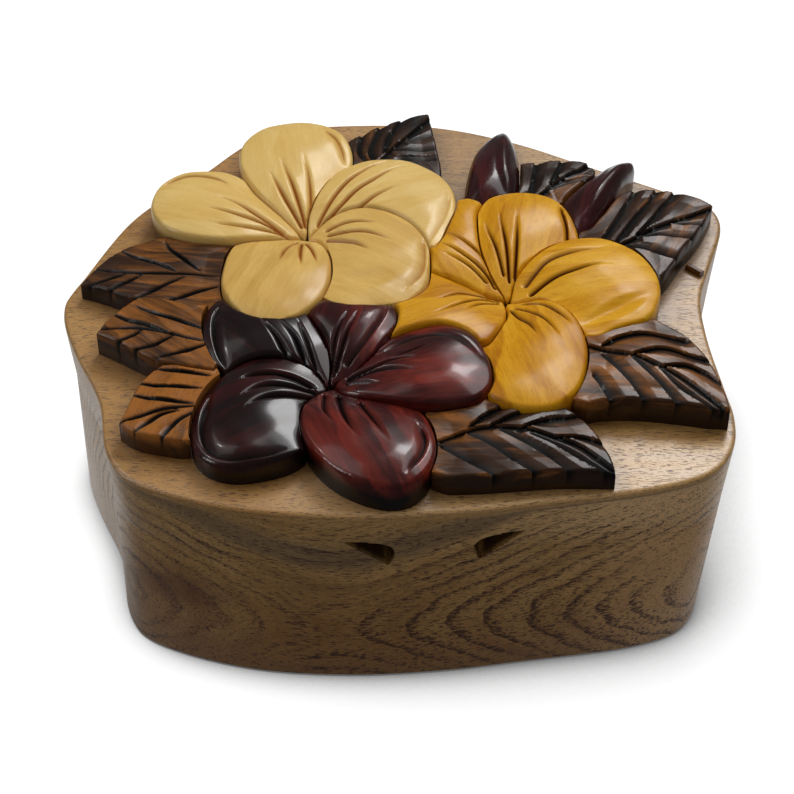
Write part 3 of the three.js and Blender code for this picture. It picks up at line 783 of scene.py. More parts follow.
GROOVES = {
    "cream_petal_left": [
        groove(1.3, 2.4, 1.6, (-49, 31), (-42, 28), (-36, 23.5), (-29, 18)),
        groove(1.3, 1.8, 1.6, (-51, 25.2), (-43, 23.2), (-36, 21.4), (-29, 18)),
        groove(1.0, 1.6, 1.6, (-50, 19), (-41.5, 18.4), (-33, 18.4), (-28, 18)),
        rim_cut(0.7, 0.9, 4.0, (-62, 33), (-60.5, 36.5), (-56.4, 39.4), (-51.5, 39.8), (-47, 38.5),
                (-43.5, 35)),
    ],
    "cream_petal_back": [
        groove(1.3, 1.8, 1.8, (-35, 43), (-33.8, 40.4), (-29.2, 30.1), (-25, 22)),
        groove(1.3, 1.8, 1.8, (-32.5, 49), (-31.5, 46.4), (-27.9, 35.9), (-24.2, 22)),
        groove(1.1, 1.6, 1.8, (-26, 50), (-25.2, 46), (-24, 40), (-23.2, 30), (-23.6, 23)),
        rim_cut(0.8, 0.9, 3.0, (-21.8, 62.5), (-18, 58.3), (-15.7, 52.5), (-14.8, 46)),
    ],
    "cream_petal_back_right": [
        groove(1.3, 2.0, 1.6, (0, 48), (-3.3, 47.1), (-9.5, 42.4), (-15.3, 35.2), (-20.4, 24.5),
               (-21.6, 21.5)),
        groove(1.4, 2.0, 1.6, (3, 44.5), (0.1, 43.8), (-6.3, 38.3), (-11.9, 32.9), (-16.6, 26.3),
               (-20.5, 21.8)),
        groove(1.2, 2.2, 1.6, (1, 34.2), (-1.7, 33.4), (-6.3, 30.7), (-10.6, 26.7), (-15, 23.5), (-18, 22)),
        groove(0.5, 0.9, 4.5, (12, 34), (12.2, 30), (11, 22.4), (8.5, 16), (6.3, 11), start=0.3, end=0.1),
    ],
    "cream_petal_right": [
        groove(1.2, 1.8, 1.8, (-4.5, 18.6), (-6.2, 19.2), (-10.5, 20.6), (-15, 20.6), (-19.5, 19)),
        groove(1.4, 1.8, 2.0, (-1.5, 10), (-3.1, 11.6), (-7.6, 14.6), (-12.4, 16.2), (-19, 17)),
        groove(1.3, 1.8, 2.0, (-7.5, 6), (-8.6, 7.9), (-11.1, 10.6), (-14.5, 12.5), (-19, 15)),
        groove(0.7, 0.9, 4.5, (5, 14), (5.6, 8.3), (4.7, -1.9), (0, -9), start=0.25, end=0.3),
        scoop(0.8, 4.5, 4.5, (-15, -3), (-8, -4), (-2, -2)),
    ],
    "cream_petal_front": [
        groove(1.1, 1.6, 1.6, (-30.5, 2), (-30, 3.9), (-28.6, 11), (-26, 16), start=0.5),
        groove(1.3, 1.6, 1.6, (-24.8, -1), (-24.6, 1.9), (-25, 8), (-25, 15)),
        groove(1.2, 1.6, 1.4, (-20.5, 1), (-20.9, 3.5), (-22.5, 11), (-24, 15)),
    ],
    "yellow_petal_back": [
        groove(1.1, 1.4, 1.3, (20.8, 22), (21.4, 17), (23.1, 10.4), (25, 0)),
        groove(1.4, 1.4, 1.3, (24.4, 25), (25, 19), (25.8, 10.4), (26.2, -2)),
        groove(1.3, 1.4, 1.8, (29.2, 24), (28.9, 18), (28.5, 10.4), (27.5, -1)),
        groove(1.2, 0.8, 2.2, (40, 28), (41, 22.2), (41.4, 17), (41.2, 12), start=0.3, end=0.1),
    ],
    "yellow_petal_right": [
        groove(1.0, 2.2, 3.0, (52, 9.5), (48.8, 8.4), (42.6, 7), (36.3, 4.4), (29.5, -4)),
        groove(1.4, 2.0, 2.2, (52, 1.6), (48, 1.4), (43, 0), (36.5, -2.6), (30.5, -7)),
        scoop(1.1, 4.5, 2.6, (60, -8.5), (55, -12), (49, -15.5), (42, -20)),
    ],
    "yellow_petal_front": [
        groove(1.4, 1.0, 1.6, (40, -21), (38.6, -18.4), (35.5, -14.1), (32.3, -10.8), (28, -9.2), start=0.4,
               end=0.15),
        groove(1.3, 1.1, 1.6, (37.2, -27), (36, -24), (33.6, -18.6), (31, -15.4), (27, -11)),
        groove(1.2, 1.2, 2.0, (32, -27), (31.4, -25), (30, -20.6), (27.9, -17.4), (26, -12)),
    ],
    "yellow_petal_front_left": [
        groove(1.1, 1.3, 1.3, (7.5, -12), (10.6, -10.2), (14, -8), (19, -7), (24, -7.2)),
        groove(1.2, 1.3, 1.3, (7, -18.5), (9.7, -16.4), (13.9, -13), (18.8, -9), (24, -8)),
        groove(1.1, 1.3, 1.3, (14.5, -16.5), (16.7, -13.8), (19, -11.3), (23.5, -9)),
    ],
    "yellow_petal_left": [
        groove(1.1, 1.4, 1.2, (8.5, 16.5), (11.3, 14.8), (15.7, 11), (20.3, 6), (24, -2)),
        groove(1.2, 1.4, 1.2, (6.5, 11.5), (9.3, 10.4), (14.4, 6.9), (20.5, 0.6), (23, -4)),
        groove(1.0, 1.4, 1.2, (9, 7), (11.4, 6), (16, 2.8), (21, -2.5)),
    ],
    "red_petal_back_left": [
        groove(1.3, 1.5, 1.5, (-34, -17.5), (-32.7, -20.1), (-29.4, -25.3), (-26.5, -31), (-21, -37)),
        groove(1.3, 1.5, 1.5, (-30, -17.5), (-28.5, -20.1), (-25.2, -25), (-22.5, -32), (-19, -37)),
        groove(1.1, 1.4, 1.4, (-25.4, -17), (-24.3, -19.7), (-22.1, -26.4), (-20, -33.3), (-18, -37.5)),
        groove(1.0, 3.2, 0.9, (-42.5, -12), (-44.2, -16), (-44.3, -22.3), (-42.5, -30), (-40, -35),
               start=0.25, end=0.25),
    ],
    "red_petal_back": [
        groove(1.0, 1.2, 1.2, (-12, -15), (-13, -18), (-15.4, -24.5), (-16.5, -34)),
        groove(1.1, 1.2, 1.2, (-9.8, -16), (-10.8, -19), (-13, -25), (-15.5, -35)),
        groove(0.8, 1.0, 1.0, (-13, -26.5), (-14.5, -30), (-16, -36)),
        groove(1.0, 0.9, 2.8, (-3.4, -13), (-4.4, -18), (-8, -26), (-13, -34), start=0.3),
    ],
    "red_petal_right": [
        rim_cut(1.2, 1.3, 3.0, (19, -35), (16, -31.2), (12, -27.6), (6.3, -26.2), (0, -27.6), (-6, -31)),
        groove(1.3, 1.6, 1.6, (5.5, -34), (3.4, -34.4), (-2.8, -34.6), (-7.1, -36), (-13, -38)),
        groove(1.3, 1.6, 1.6, (5, -40), (3.1, -39.4), (-0.3, -38.5), (-5.3, -37.6), (-13, -38.6)),
        groove(0.9, 1.4, 1.4, (-4.5, -42.5), (-6.6, -41.8), (-9.8, -40.6), (-13, -39.6)),
        groove(0.8, 1.2, 1.2, (7, -29.8), (5.1, -30.6), (1.6, -32.1), (-3, -33.6), start=0.4, end=0.4),
    ],
    "red_petal_front": [
        groove(1.2, 1.6, 1.6, (-14.5, -57), (-16, -54), (-17.5, -49.6), (-17.6, -42)),
        groove(1.4, 1.6, 1.6, (-9, -62), (-10.9, -58.6), (-13.2, -51.7), (-14.5, -43)),
        groove(1.2, 1.6, 1.6, (-2.8, -62.5), (-4, -59.9), (-6.3, -55), (-9.5, -47)),
        rim_cut(1.1, 0.9, 3.2, (3, -54), (5, -59.9), (4.2, -65.7), (0.5, -72)),
    ],
    "red_petal_left": [
        groove(1.2, 1.3, 3.0, (-38, -40), (-34.7, -37.6), (-30, -36.8), (-24.9, -37.4), (-19.5, -40),
               start=0.35, end=0.1),
        groove(1.3, 1.6, 1.6, (-37.5, -47), (-35.7, -44.7), (-32, -42), (-27.7, -41.2), (-19, -41.5)),
        groove(1.3, 1.6, 1.8, (-36, -50.8), (-34.1, -48.5), (-31.1, -46.2), (-27.6, -45), (-19.5, -43.5)),
        scoop(1.9, 0.5, 5.5, (-18.4, -43), (-18.2, -50), (-18.8, -57), (-21, -63), start=0.2, end=0.3),
        groove(1.0, 3.4, 0.9, (-43, -42), (-44.6, -49), (-44.6, -56), (-42.5, -62), (-38, -65), (-31, -64.6),
               (-25, -62), start=0.2, end=0.3),
    ],
}

# Leaf veins, each drawn outwards from the midrib, with the midrib first. Those in before stand on
# the left of the way from the leaf's foot to its tip, and those in after on the right.
VEINS = {
    "leaf_left_back": {
        "midrib": [(-42, 0.3), (-54.1, 0.8), (-63.7, 1.2), (-68.2, 2.4), (-75.5, 4)],
        "before": [[(-44, -3.4), (-50.9, -6.4), (-60, -11)], [(-53, -0.3), (-58.6, -4), (-66, -9)],
                   [(-63.4, 0.6), (-68.4, -2.8), (-72, -6)], [(-67.5, 1.6), (-72.7, -0.8), (-77, -2.4)]],
        "after": [[(-49.4, 2.6), (-53.5, 7), (-57.6, 12.2), (-59, 15)],
                  [(-55.2, 1.9), (-59.4, 5.2), (-64.4, 8.1), (-70, 11.6)]],
    },
    "leaf_left": {
        "midrib": [(-44, -27), (-47, -26.3), (-56.6, -23.3), (-63.9, -21.4), (-72, -21)],
        "before": [[(-45, -27.4), (-49, -29.4), (-57, -32)], [(-53.5, -25), (-58, -27.8), (-65, -30)],
                   [(-61, -22.6), (-64, -25), (-69, -27.6)]],
        "after": [[(-46, -22.4), (-50, -20), (-58, -16), (-64, -12)],
                  [(-54.5, -23.6), (-60.8, -19.8), (-66.8, -16.5), (-70.5, -14.5)]],
    },
    "leaf_left_front": {
        "midrib": [(-44, -48.2), (-49, -48.8), (-54.2, -49.8), (-64, -53.4)],
        "before": [[(-46, -50), (-50.7, -54.4), (-53.8, -59.6)],
                   [(-50, -49.8), (-54.1, -51.4), (-60, -56.8)]],
        "after": [[(-45.5, -42.2), (-51, -41.4), (-61.5, -39.6)],
                  [(-47, -47.4), (-53.2, -46.2), (-62, -43.6)],
                  [(-44, -37), (-50, -35.8), (-57, -34.4)]],
    },
    "leaf_back": {
        "midrib": [(-6, 49), (-3.2, 53.8), (1.6, 61.3), (7.5, 71.5)],
        "before": [[(-8.6, 48), (-11.4, 53.5), (-10.4, 66)], [(-7.5, 49.5), (-8.6, 54), (-5.5, 68)],
                   [(-4.6, 53.5), (-4, 59.5), (0.6, 72.5)]],
        "after": [[(0.6, 49.4), (5.4, 50.4), (11, 51.5)], [(-2.2, 54), (3.9, 54.4), (11, 56.4)],
                  [(0.4, 59.2), (4, 60.4), (10, 63.6)]],
    },
    "leaf_between_buds": {
        "midrib": [(33, 31.5), (37.2, 36.1), (42.5, 42.2), (49.5, 49.5)],
        "before": [[(32.6, 33.5), (33.6, 38.5), (35.4, 49.6)], [(38.6, 38.6), (40.4, 44.4), (42.6, 51.4)]],
        "after": [[(38, 36.4), (42, 38.4), (48, 41.6)], [(42, 41.6), (46, 43.8), (52, 47)]],
    },
    "leaf_right_back": {
        "midrib": [(50, 8.8), (56, 12.6), (62.5, 17.6), (70.3, 22.8), (79, 28.6)],
        "before": [[(48.6, 11.5), (51.5, 17), (55.5, 25.5), (60, 35.6)],
                   [(52.6, 11.6), (57, 19.5), (61, 26.6), (66, 36.6)],
                   [(58.6, 15.2), (62.5, 21), (66, 27.5), (70.6, 36)]],
        "after": [[(54.8, 10.6), (60, 9.4), (65, 7.6), (69.6, 5.6)], [(60.6, 14.6), (66, 15.2), (74.6, 14.6)],
                  [(68.4, 20.4), (73, 20.6), (77.6, 20.4)]],
    },
    "leaf_right": {
        "midrib": [(40.5, -26), (49.1, -29.9), (55.3, -32.4), (60.3, -36), (66.5, -41.6), (73, -50)],
        "before": [[(46.6, -27.4), (50.4, -24.6), (54.9, -23.1), (59.8, -23.1), (66, -25.4)],
                   [(53.6, -31), (58.7, -28.9), (63.3, -29.1), (70, -32.2)],
                   [(60.2, -35.2), (65.5, -34.6), (69.3, -36.7), (73.6, -41.4)]],
        "after": [[(43.6, -38.6), (45.4, -42.3), (47.6, -49)],
                  [(46.4, -31.6), (50.3, -37.9), (52.6, -42), (54.8, -48.4)],
                  [(53, -32.6), (56.4, -38), (59, -42), (62.6, -49.6)],
                  [(59, -36.4), (62, -41.4), (65.6, -45.4), (71.4, -50.4)]],
    },
    "leaf_front": {
        "midrib": [(7, -60), (12.9, -56.8), (18.3, -55.3), (24, -55.3), (28.7, -56), (33.4, -57.9),
                   (39.8, -61), (46, -68)],
        "before": [[(15.2, -54.4), (18.8, -50.6), (24, -47.4)], [(19.4, -55), (23.6, -51.8), (29.5, -48.6)],
                   [(26, -55.8), (30.5, -53), (38.6, -50.4)],
                   [(33.6, -58), (39.1, -57.4), (44.6, -59.4)]],
        "after": [[(8.6, -61.6), (14.3, -66), (18.5, -69), (22.6, -72.4)],
                  [(14.6, -57.4), (19.7, -61.4), (24.6, -65.9), (30, -70.4)],
                  [(21.6, -56.6), (26.9, -60.4), (32, -64.6), (37.2, -69.8)],
                  [(28.4, -57.6), (33.2, -60.6), (39.1, -65), (45.4, -69.6)]],
    },
}

# How deep the veins are cut, and how far a cut reaches on its steep and on its gentle side
VEIN_DEPTH = 1.2
VEIN_STEEP = 0.5
VEIN_GENTLE = 4.2

# The left leaves have flat panels between narrow, dark cuts that taper at both ends
NARROW_VEINS = ("leaf_left_back", "leaf_left", "leaf_left_front")
NARROW_GENTLE = 1.9

# How light each carving's wood is at its foot and at its tip
TONES = {
    "cream_petal_left": (0.62, 0.62), "cream_petal_back": (0.66, 0.62),
    "cream_petal_back_right": (0.64, 0.66), "cream_petal_right": (0.42, 0.42),
    "cream_petal_front": (0.38, 0.34),
    "yellow_petal_back": (0.6, 0.66), "yellow_petal_right": (0.6, 0.74), "yellow_petal_front": (0.5, 0.44),
    "yellow_petal_left": (0.56, 0.6),
    "red_petal_back_left": (0.2, 0.2), "red_petal_back": (0.45, 0.5), "red_petal_right": (0.62, 0.6),
    "red_petal_front": (0.7, 0.62), "red_petal_left": (0.22, 0.2),
    "leaf_left_back": (0.6, 0.45), "leaf_left": (0.75, 0.7), "leaf_left_front": (0.85, 0.8),
    "leaf_back": (0.4, 0.3), "leaf_between_buds": (0.5, 0.45), "leaf_right_back": (0.5, 0.42),
    "leaf_right": (0.8, 0.45), "leaf_front": (0.62, 0.36),
}
PLAIN_TONE = (0.5, 0.5)

# How wide the cuts of each flower are, as shares of their drawn width
CUT_WIDTHS = {"cream": 0.72, "yellow": 0.68, "red": 0.9}

# How much a carving's top falls towards its left, in mm per mm
TILTS = {"red_petal_left": 0.09, "red_petal_back_left": 0.03}

# The ridge that runs along each bud
RIDGES = {
    "bud_left": [rim_cut(-1.3, 4.5, 3.0, (27.7, 64.5), (27.5, 51), (27.4, 41.7), (27.8, 33))],
    "bud_right": [rim_cut(-1.5, 4.5, 3.0, (60.6, 50), (53.9, 36.5), (46.5, 22.5))],
}


class Carving:
    """One carved piece: its node's outline made smooth and a smooth height over it."""

    def __init__(self, node):
        self.node = node
        self.family = node.split("_")[0]
        self.outline = grown(with_corners(loops_at(node, TOP_Z)[0], CARVING_STEP), -OUTLINE_INSET)
        self.middle = self.outline.mean(0)
        self.size = np.abs(self.outline - self.middle).max()
        self.mark = sum(ord(letter) for letter in node)
        self.fit_height()

    def terms(self, points):
        x, y = ((points - self.middle) / self.size).T
        return np.stack([x ** i * y ** j for i in range(6) for j in range(6 - i)], 1)

    def fit_height(self):
        """The CAD top is faceted, so a smooth surface is fitted to it away from its edge."""
        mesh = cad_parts[self.node].data
        tree = BVHTree.FromPolygons([vertex.co for vertex in mesh.vertices],
                                    [face.vertices for face in mesh.polygons])
        places = self.scatter(FIT_STEP, FIT_MARGIN)
        down = Vector((0, 0, -1))
        heights = [tree.ray_cast(Vector((x * MM, y * MM, 0.2)), down)[0].z / MM for x, y in places]
        self.factors = np.linalg.lstsq(self.terms(places), np.array(heights), rcond=1e-4)[0]

    def scatter(self, step, margin):
        """Points of an even grid inside the outline, at least the margin away from it."""
        lowest, highest = self.outline.min(0), self.outline.max(0)
        rows = np.arange(lowest[1], highest[1], step * 0.866)
        grid = [(x, y) for count, y in enumerate(rows)
                for x in np.arange(lowest[0] + step / 2 * (count % 2), highest[0], step)]
        grid = np.array(grid)
        grid = grid[inside(grid, self.outline)]
        distance = beside_line(grid, self.outline, True)[0]
        return grid[distance > margin]

    def height(self, points):
        fall = TILTS.get(self.node, 0) * (self.outline[:, 0].max() - points[:, 0])
        return self.terms(points) @ self.factors - fall

    def waves(self, points):
        """Slight unevenness, different on each piece. It only lowers the top."""
        x, y = points.T
        first = np.sin(x / 1.7 + y / 2.6 + self.mark)
        second = np.sin(y / 1.9 - x / 3.1 + 2 * self.mark)
        return TOOL_WAVE * (first + second - 2)

    def edge_radii(self, others):
        """The rounding at each point of the outline: small where it tucks under a neighbour."""
        full = {"leaf": LEAF_EDGE, "bud": BUD_EDGE}.get(self.family, PETAL_EDGE)
        radii = np.full(len(self.outline), full)
        own = self.height(self.outline)
        for other in others:
            if other is self or np.abs(self.middle - other.middle).max() > self.size + other.size:
                continue
            distance = beside_line(self.outline, other.outline, True)[0]
            if other.family in HEARTS and self.family not in HEARTS:
                radii[distance < LEAF_TUCK] = TUCKED_EDGE
            else:
                radii[(distance < PETAL_TUCK) & (other.height(self.outline) > own)] = TUCKED_EDGE
        around = np.concatenate([radii[-EDGE_SPREAD:], radii, radii[:EDGE_SPREAD]])
        count = 2 * EDGE_SPREAD + 1
        return np.convolve(around, np.ones(count) / count, "valid")


def cut_depth(points, cuts, width):
    """At each point, how deep all cuts go, how deep the sharp ones go and how high ridges stand."""
    deepest, sharpest, highest = np.zeros((3, len(points)))
    for cut in cuts:
        line = curve_through(cut["points"], 0.6, False)
        distance, side, place = beside_line(points, line)
        fade_in = np.clip(place / max(cut["start"], 1e-3), 0, 1)
        fade_out = np.clip((1 - place) / max(cut["end"], 1e-3), 0, 1)
        fade = np.sin(fade_in * math.pi / 2) ** 1.5 * np.sin(fade_out * math.pi / 2)
        reach = np.where(side > 0, cut["left"], cut["right"]) * (0.45 + 0.55 * fade)
        reach *= 1 if cut["round"] else width
        share = np.clip(1 - distance / reach, 0, 1)
        across = share ** 2 * (3 - 2 * share) if cut["round"] or cut["depth"] < 0 else share ** 2
        profile = across * fade * abs(cut["depth"])
        if cut["depth"] < 0:
            highest = np.maximum(highest, profile)
            continue
        deepest = np.maximum(deepest, profile)
        if not cut["round"]:
            sharpest = np.maximum(sharpest, profile)
    return deepest, sharpest, highest


def with_lines(grid, outline, lines):
    """The grid's points with a row of points along each line, so that cuts stay crisp."""
    rows = [line[inside(line, outline)] for line in lines]
    taken = np.zeros((0, 2))
    for row in rows:
        row = row[beside_line(row, outline, True)[0] > LINE_STEP * 0.8] if len(row) else row
        for point in row:
            if len(taken) == 0 or np.abs(taken - point).sum(1).min() > LINE_STEP * 0.7:
                taken = np.concatenate([taken, [point]])
    if len(taken) == 0:
        return grid
    tree = KDTree(len(taken))
    for count, (x, y) in enumerate(taken):
        tree.insert((x, y, 0), count)
    tree.balance()
    apart = [tree.find((x, y, 0))[2] > LINE_STEP for x, y in grid]
    return np.concatenate([grid[apart], taken])


def signed_area(corners):
    (ax, ay), (bx, by), (cx, cy) = corners
    return (bx - ax) * (cy - ay) - (by - ay) * (cx - ax)


def build_carving(carving, others, cuts, lines):
    """The piece's mesh: a carved top, upright sides and a flat underside."""
    outline = carving.outline
    count = len(outline)
    grid = carving.scatter(CARVING_STEP, CARVING_STEP * 0.6)
    flat = np.concatenate([outline, with_lines(grid, outline, lines)])
    result = delaunay_2d_cdt([Vector(point) for point in flat], [], [list(range(count))], 1, 1e-5)
    points = np.array([tuple(point) for point in result[0]])
    rim = [0] * count
    for index, origins in enumerate(result[3]):
        if origins and origins[0] < count:
            rim[origins[0]] = index
    nearest = np.argmin(np.linalg.norm(points[:, None, :] - outline[::2], axis=2), 1) * 2
    distance = beside_line(points, outline, True)[0]
    distance[rim] = 0
    radius = carving.edge_radii(others)[nearest]
    inward = np.clip(radius - distance, 0, None)
    drop = radius - np.sqrt(np.clip(radius ** 2 - inward ** 2, 0, None))
    deepest, sharpest, highest = cut_depth(points, cuts, CUT_WIDTHS.get(carving.family, 1))
    level_at = points
    if carving.family == "leaf":
        inner = carving.middle - points
        inner /= np.maximum(np.linalg.norm(inner, axis=1), 1)[:, None]
        level_at = points + inner * np.clip(LEAF_RIM - distance, 0, None)[:, None]
    height = carving.height(level_at) + carving.waves(points) - drop - deepest + highest
    foot = np.column_stack([outline, np.full(count, TOP_Z)])
    solid = np.concatenate([np.column_stack([points, height]), foot])
    total = len(points)
    faces = [face if signed_area(points[face]) > 0 else face[::-1] for face in map(list, result[2])]
    for index in range(count):
        onward = (index + 1) % count
        faces.append([total + index, total + onward, rim[onward], rim[index]])
    faces.append(list(range(total, total + count))[::-1])
    piece = make_piece(f"{carving.node}_carved", solid, faces, CARVED_ANGLE)
    bare = np.zeros(count)
    add_values(piece, "grain", board_places(carving, solid))
    add_values(piece, "tone", board_tones(carving, solid))
    add_values(piece, "groove", np.concatenate([np.clip(sharpest / FULL_GROOVE, 0, 1), bare]))
    add_values(piece, "top", np.concatenate([np.ones(total), bare]))
    return piece


def vein_tree():
    """Cuts along drawn lines: steep on their left, gentle on their right, deepest in the line."""
    inputs = {"Leaf": "Geometry", "Lines": "Object", "Depth": "Float", "Steep side": "Float",
              "Gentle side": "Float", "Darkness": "Float", "Wood": "Material"}
    group = bpy.data.node_groups.new("leaf_veins", "GeometryNodeTree")
    group.interface.new_socket("Geometry", in_out="OUTPUT", socket_type="NodeSocketGeometry")
    for label, kind in inputs.items():
        group.interface.new_socket(label, in_out="INPUT", socket_type=f"NodeSocket{kind}")
    tree = Nodes(group)
    sources = group.nodes.new("NodeGroupInput").outputs
    given = {label: Value(tree, sources[label]) for label in inputs}
    lines = tree.node("GeometryNodeObjectInfo", {}, {"Object": given["Lines"]}, "Geometry")
    sockets = {"Curve": lines, "Length": VEIN_STEP * MM}
    points = tree.node("GeometryNodeCurveToPoints", {"mode": "LENGTH"}, sockets)
    tangent = Value(tree, points.socket.node.outputs["Tangent"])
    position = tree.node("GeometryNodeInputPosition", {}, {})
    here = tree.vector("MULTIPLY", position, (1.0, 1.0, 0.0))
    nearest = tree.node("GeometryNodeSampleNearest", {}, {"Geometry": points, "Sample Position": here})

    def sampled(kind, value):
        sockets = {"Geometry": points, "Value": value, "Index": nearest}
        return tree.node("GeometryNodeSampleIndex", {"data_type": kind}, sockets)

    offset = tree.vector("SUBTRACT", here, sampled("FLOAT_VECTOR", position))
    strength = sampled("FLOAT", tree.node("GeometryNodeInputRadius", {}, {}))
    cross = tree.vector("CROSS_PRODUCT", sampled("FLOAT_VECTOR", tangent), offset)
    left = tree.axes(cross, "Z")[0].more_than(0.0)
    sides = {"Switch": left, "False": given["Gentle side"], "True": given["Steep side"]}
    reach = tree.node("GeometryNodeSwitch", {"input_type": "FLOAT"}, sides) * (strength * 0.5 + 0.5)
    share = (1.0 - tree.vector("LENGTH", offset, output="Value") / reach).at_least(0.0)
    top = tree.node("GeometryNodeInputNamedAttribute", {"data_type": "FLOAT"}, {"Name": "top"})
    cut = share ** 2.0 * strength * top
    down = tree.joined(Z=cut * given["Depth"] * -1.0)
    carved = tree.node("GeometryNodeSetPosition", {}, {"Geometry": given["Leaf"], "Offset": down})
    # The groove attribute darkens the wood's colour: stain and painted shade in the cuts
    stored = tree.node("GeometryNodeStoreNamedAttribute", {"data_type": "FLOAT", "domain": "POINT"},
                       {"Geometry": carved, "Name": "groove", "Value": cut * given["Darkness"]})
    realized = tree.node("GeometryNodeRealizeInstances", {}, {"Geometry": stored})
    finished = tree.node("GeometryNodeSetMaterial", {}, {"Geometry": realized, "Material": given["Wood"]})
    tree.feed(group.nodes.new("NodeGroupOutput").inputs["Geometry"], finished)
    return group


def drawn_veins(veins):
    """Each vein's points in the order that puts its steep side on the left, with the shares of the
    full depth at its start and end."""
    drawn = [(veins["midrib"], 0.8, 0.9)]
    drawn += [(line[::-1], 0.75, 1.0) for line in veins["after"]]
    drawn += [(line, 1.0, 0.75) for line in veins["before"]]
    return drawn


def vein_lines(veins, tapered):
    """The drawn veins as curves. Each curve's radius says how deep the cut is there."""
    curves = bpy.data.curves.new("vein_lines", "CURVE")
    curves.dimensions = "3D"
    for points, start, end in drawn_veins(veins):
        line = curve_through(points, 0.4, False)
        spline = curves.splines.new("POLY")
        spline.points.add(len(line) - 1)
        for count, (x, y) in enumerate(line):
            share = count / (len(line) - 1)
            spline.points[count].co = (x * MM, y * MM, 0, 1)
            lens = math.sin(math.pi * (0.1 + 0.8 * share)) if tapered else 1
            spline.points[count].radius = (start + (end - start) * share) * lens
    return shown("vein_lines", curves)


def cut_veins(leaf, veins, tapered, tree, wood):
    """Runs the tree on a leaf and keeps the result as a plain mesh."""
    lines = vein_lines(veins, tapered)
    modifier = leaf.modifiers.new("Veins", "NODES")
    modifier.node_group = tree
    given = {"Lines": lines, "Depth": VEIN_DEPTH * MM, "Steep side": VEIN_STEEP * MM,
             "Gentle side": (NARROW_GENTLE if tapered else VEIN_GENTLE) * MM,
             "Darkness": 1.0 if tapered else 0.5, "Wood": wood}
    for item in tree.interface.items_tree:
        if item.in_out == "INPUT" and item.name in given:
            modifier[item.identifier] = given[item.name]
    keep_result(leaf, modifier)
    bpy.data.objects.remove(lines)
    finish_edges(leaf.data, VEINED_ANGLE)


def add_values(piece, name, values):
    """Numbers or vectors at a piece's points, for its material to read."""
    kind, field = ("FLOAT_VECTOR", "vector") if np.ndim(values) == 2 else ("FLOAT", "value")
    layer = piece.data.attributes.new(name, kind, "POINT")
    layer.data.foreach_set(field, np.asarray(values, dtype=np.float32).ravel())


def board_places(carving, solid):
    """Each piece is cut from its own place in a board, with the grain along its length."""
    if carving.family in HEARTS:
        axis = carving.middle - np.array(HEARTS[carving.family])
    else:
        spread = carving.outline - carving.middle
        axis = np.linalg.svd(spread, full_matrices=False)[2][0]
    axis = axis / np.linalg.norm(axis)
    across = np.array([-axis[1], axis[0]])
    return np.stack([
        (solid[:, :2] - carving.middle) @ axis + 37 * carving.mark,
        (solid[:, :2] - carving.middle) @ across + 12 + carving.mark % 17,
        solid[:, 2] - TOP_Z + carving.mark % 23,
    ], 1)


def board_tones(carving, solid):
    """The wood's lightness, from the foot of a leaf or petal to its tip."""
    foot, tip = TONES.get(carving.node, PLAIN_TONE)
    if carving.family in HEARTS:
        start = np.array(HEARTS[carving.family])
        end = 2 * carving.middle - start
    elif carving.family == "leaf":
        midrib = VEINS[carving.node]["midrib"]
        start, end = np.array(midrib[0]), np.array(midrib[-1])
    else:
        start, end = carving.middle, carving.middle + 1
    along = (solid[:, :2] - start) @ (end - start) / np.sum((end - start) ** 2)
    return foot + (tip - foot) * np.clip(along, 0, 1)


def make_stem():
    outline = loops_at("leaf_stem", TOP_Z)[0]
    low, high = (corner[2] for corner in box_of("leaf_stem"))
    stem = stacked("leaf_stem_carved", [(outline, low), (outline, high - 0.4), (grown(outline, -0.3), high)])
    points = np.array([vertex.co for vertex in stem.data.vertices]) / MM
    add_values(stem, "grain", points[:, [1, 0, 2]] + 7)
    add_values(stem, "tone", np.full(len(points), 0.6))
    add_values(stem, "top", np.ones(len(points)))
    return stem


carving_nodes = [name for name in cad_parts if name.split("_")[0] in carved_woods]
carvings = [Carving(name) for name in sorted(carving_nodes) if name != "leaf_stem"]
vein_carver = vein_tree()

for carving in carvings:
    family, node = carving.family, carving.node
    cuts = GROOVES.get(node, []) + RIDGES.get(node, [])
    lines = [curve_through(cut["points"], LINE_STEP, False) for cut in cuts if not cut["round"]]
    if family == "leaf":
        for points, start, end in drawn_veins(VEINS[node]):
            line = curve_through(points, LINE_STEP, False)
            lines += [line, line + left_of(np.gradient(line, axis=0)) * VEIN_STEEP]
    piece = build_carving(carving, carvings, cuts, lines)
    if family == "leaf":
        cut_veins(piece, VEINS[node], node in NARROW_VEINS, vein_carver, carved_woods[family])
    dress(piece, carved_woods[family], "lid", node)

dress(make_stem(), carved_woods["leaf"], "lid", "leaf_stem")


# Floor, light and camera

# In metres: half the floor's side, how far it lies below the box, and how far from the box its
# shadow reaches, close under the box and to one side
FLOOR_HALF = 4.0
FLOOR_DROP = 0.0002
CONTACT_REACH = 0.013
CAST_REACH = 0.034

LAMP_DISTANCE = 1.3
ROOM_LIGHT = 0.09

# From the photograph's outlines
CAMERA_PLACE = (-0.001167, -0.365107, 0.33919)
CAMERA_TILT = 49
CAMERA_LENS = 85.24

# Each lamp's azimuth and elevation seen from the box, where azimuth 0 is behind it and 90 to its
# right, its width and height in metres, its power, whether highlights show it and whether it lights
LAMPS = {
    "panel": (38, 46, 1.0, 0.8, 6.6, True, True),
    "key": (19, 44, 0.32, 0.32, 3.0, True, True),
    "overhead": (0, 84, 1.2, 1.2, 4.6, False, True),
    "left_fill": (-75, 55, 1.0, 0.7, 2.2, True, True),
    "left_spot": (-62, 48, 0.1, 0.1, 0.8, True, True),
    "left_low": (-106, 18, 0.5, 0.4, 3.6, True, False),
    "front_fill": (175, 30, 1.1, 0.6, 1.5, False, True),
}


def grey(brightness):
    return (brightness, brightness, brightness, 1)


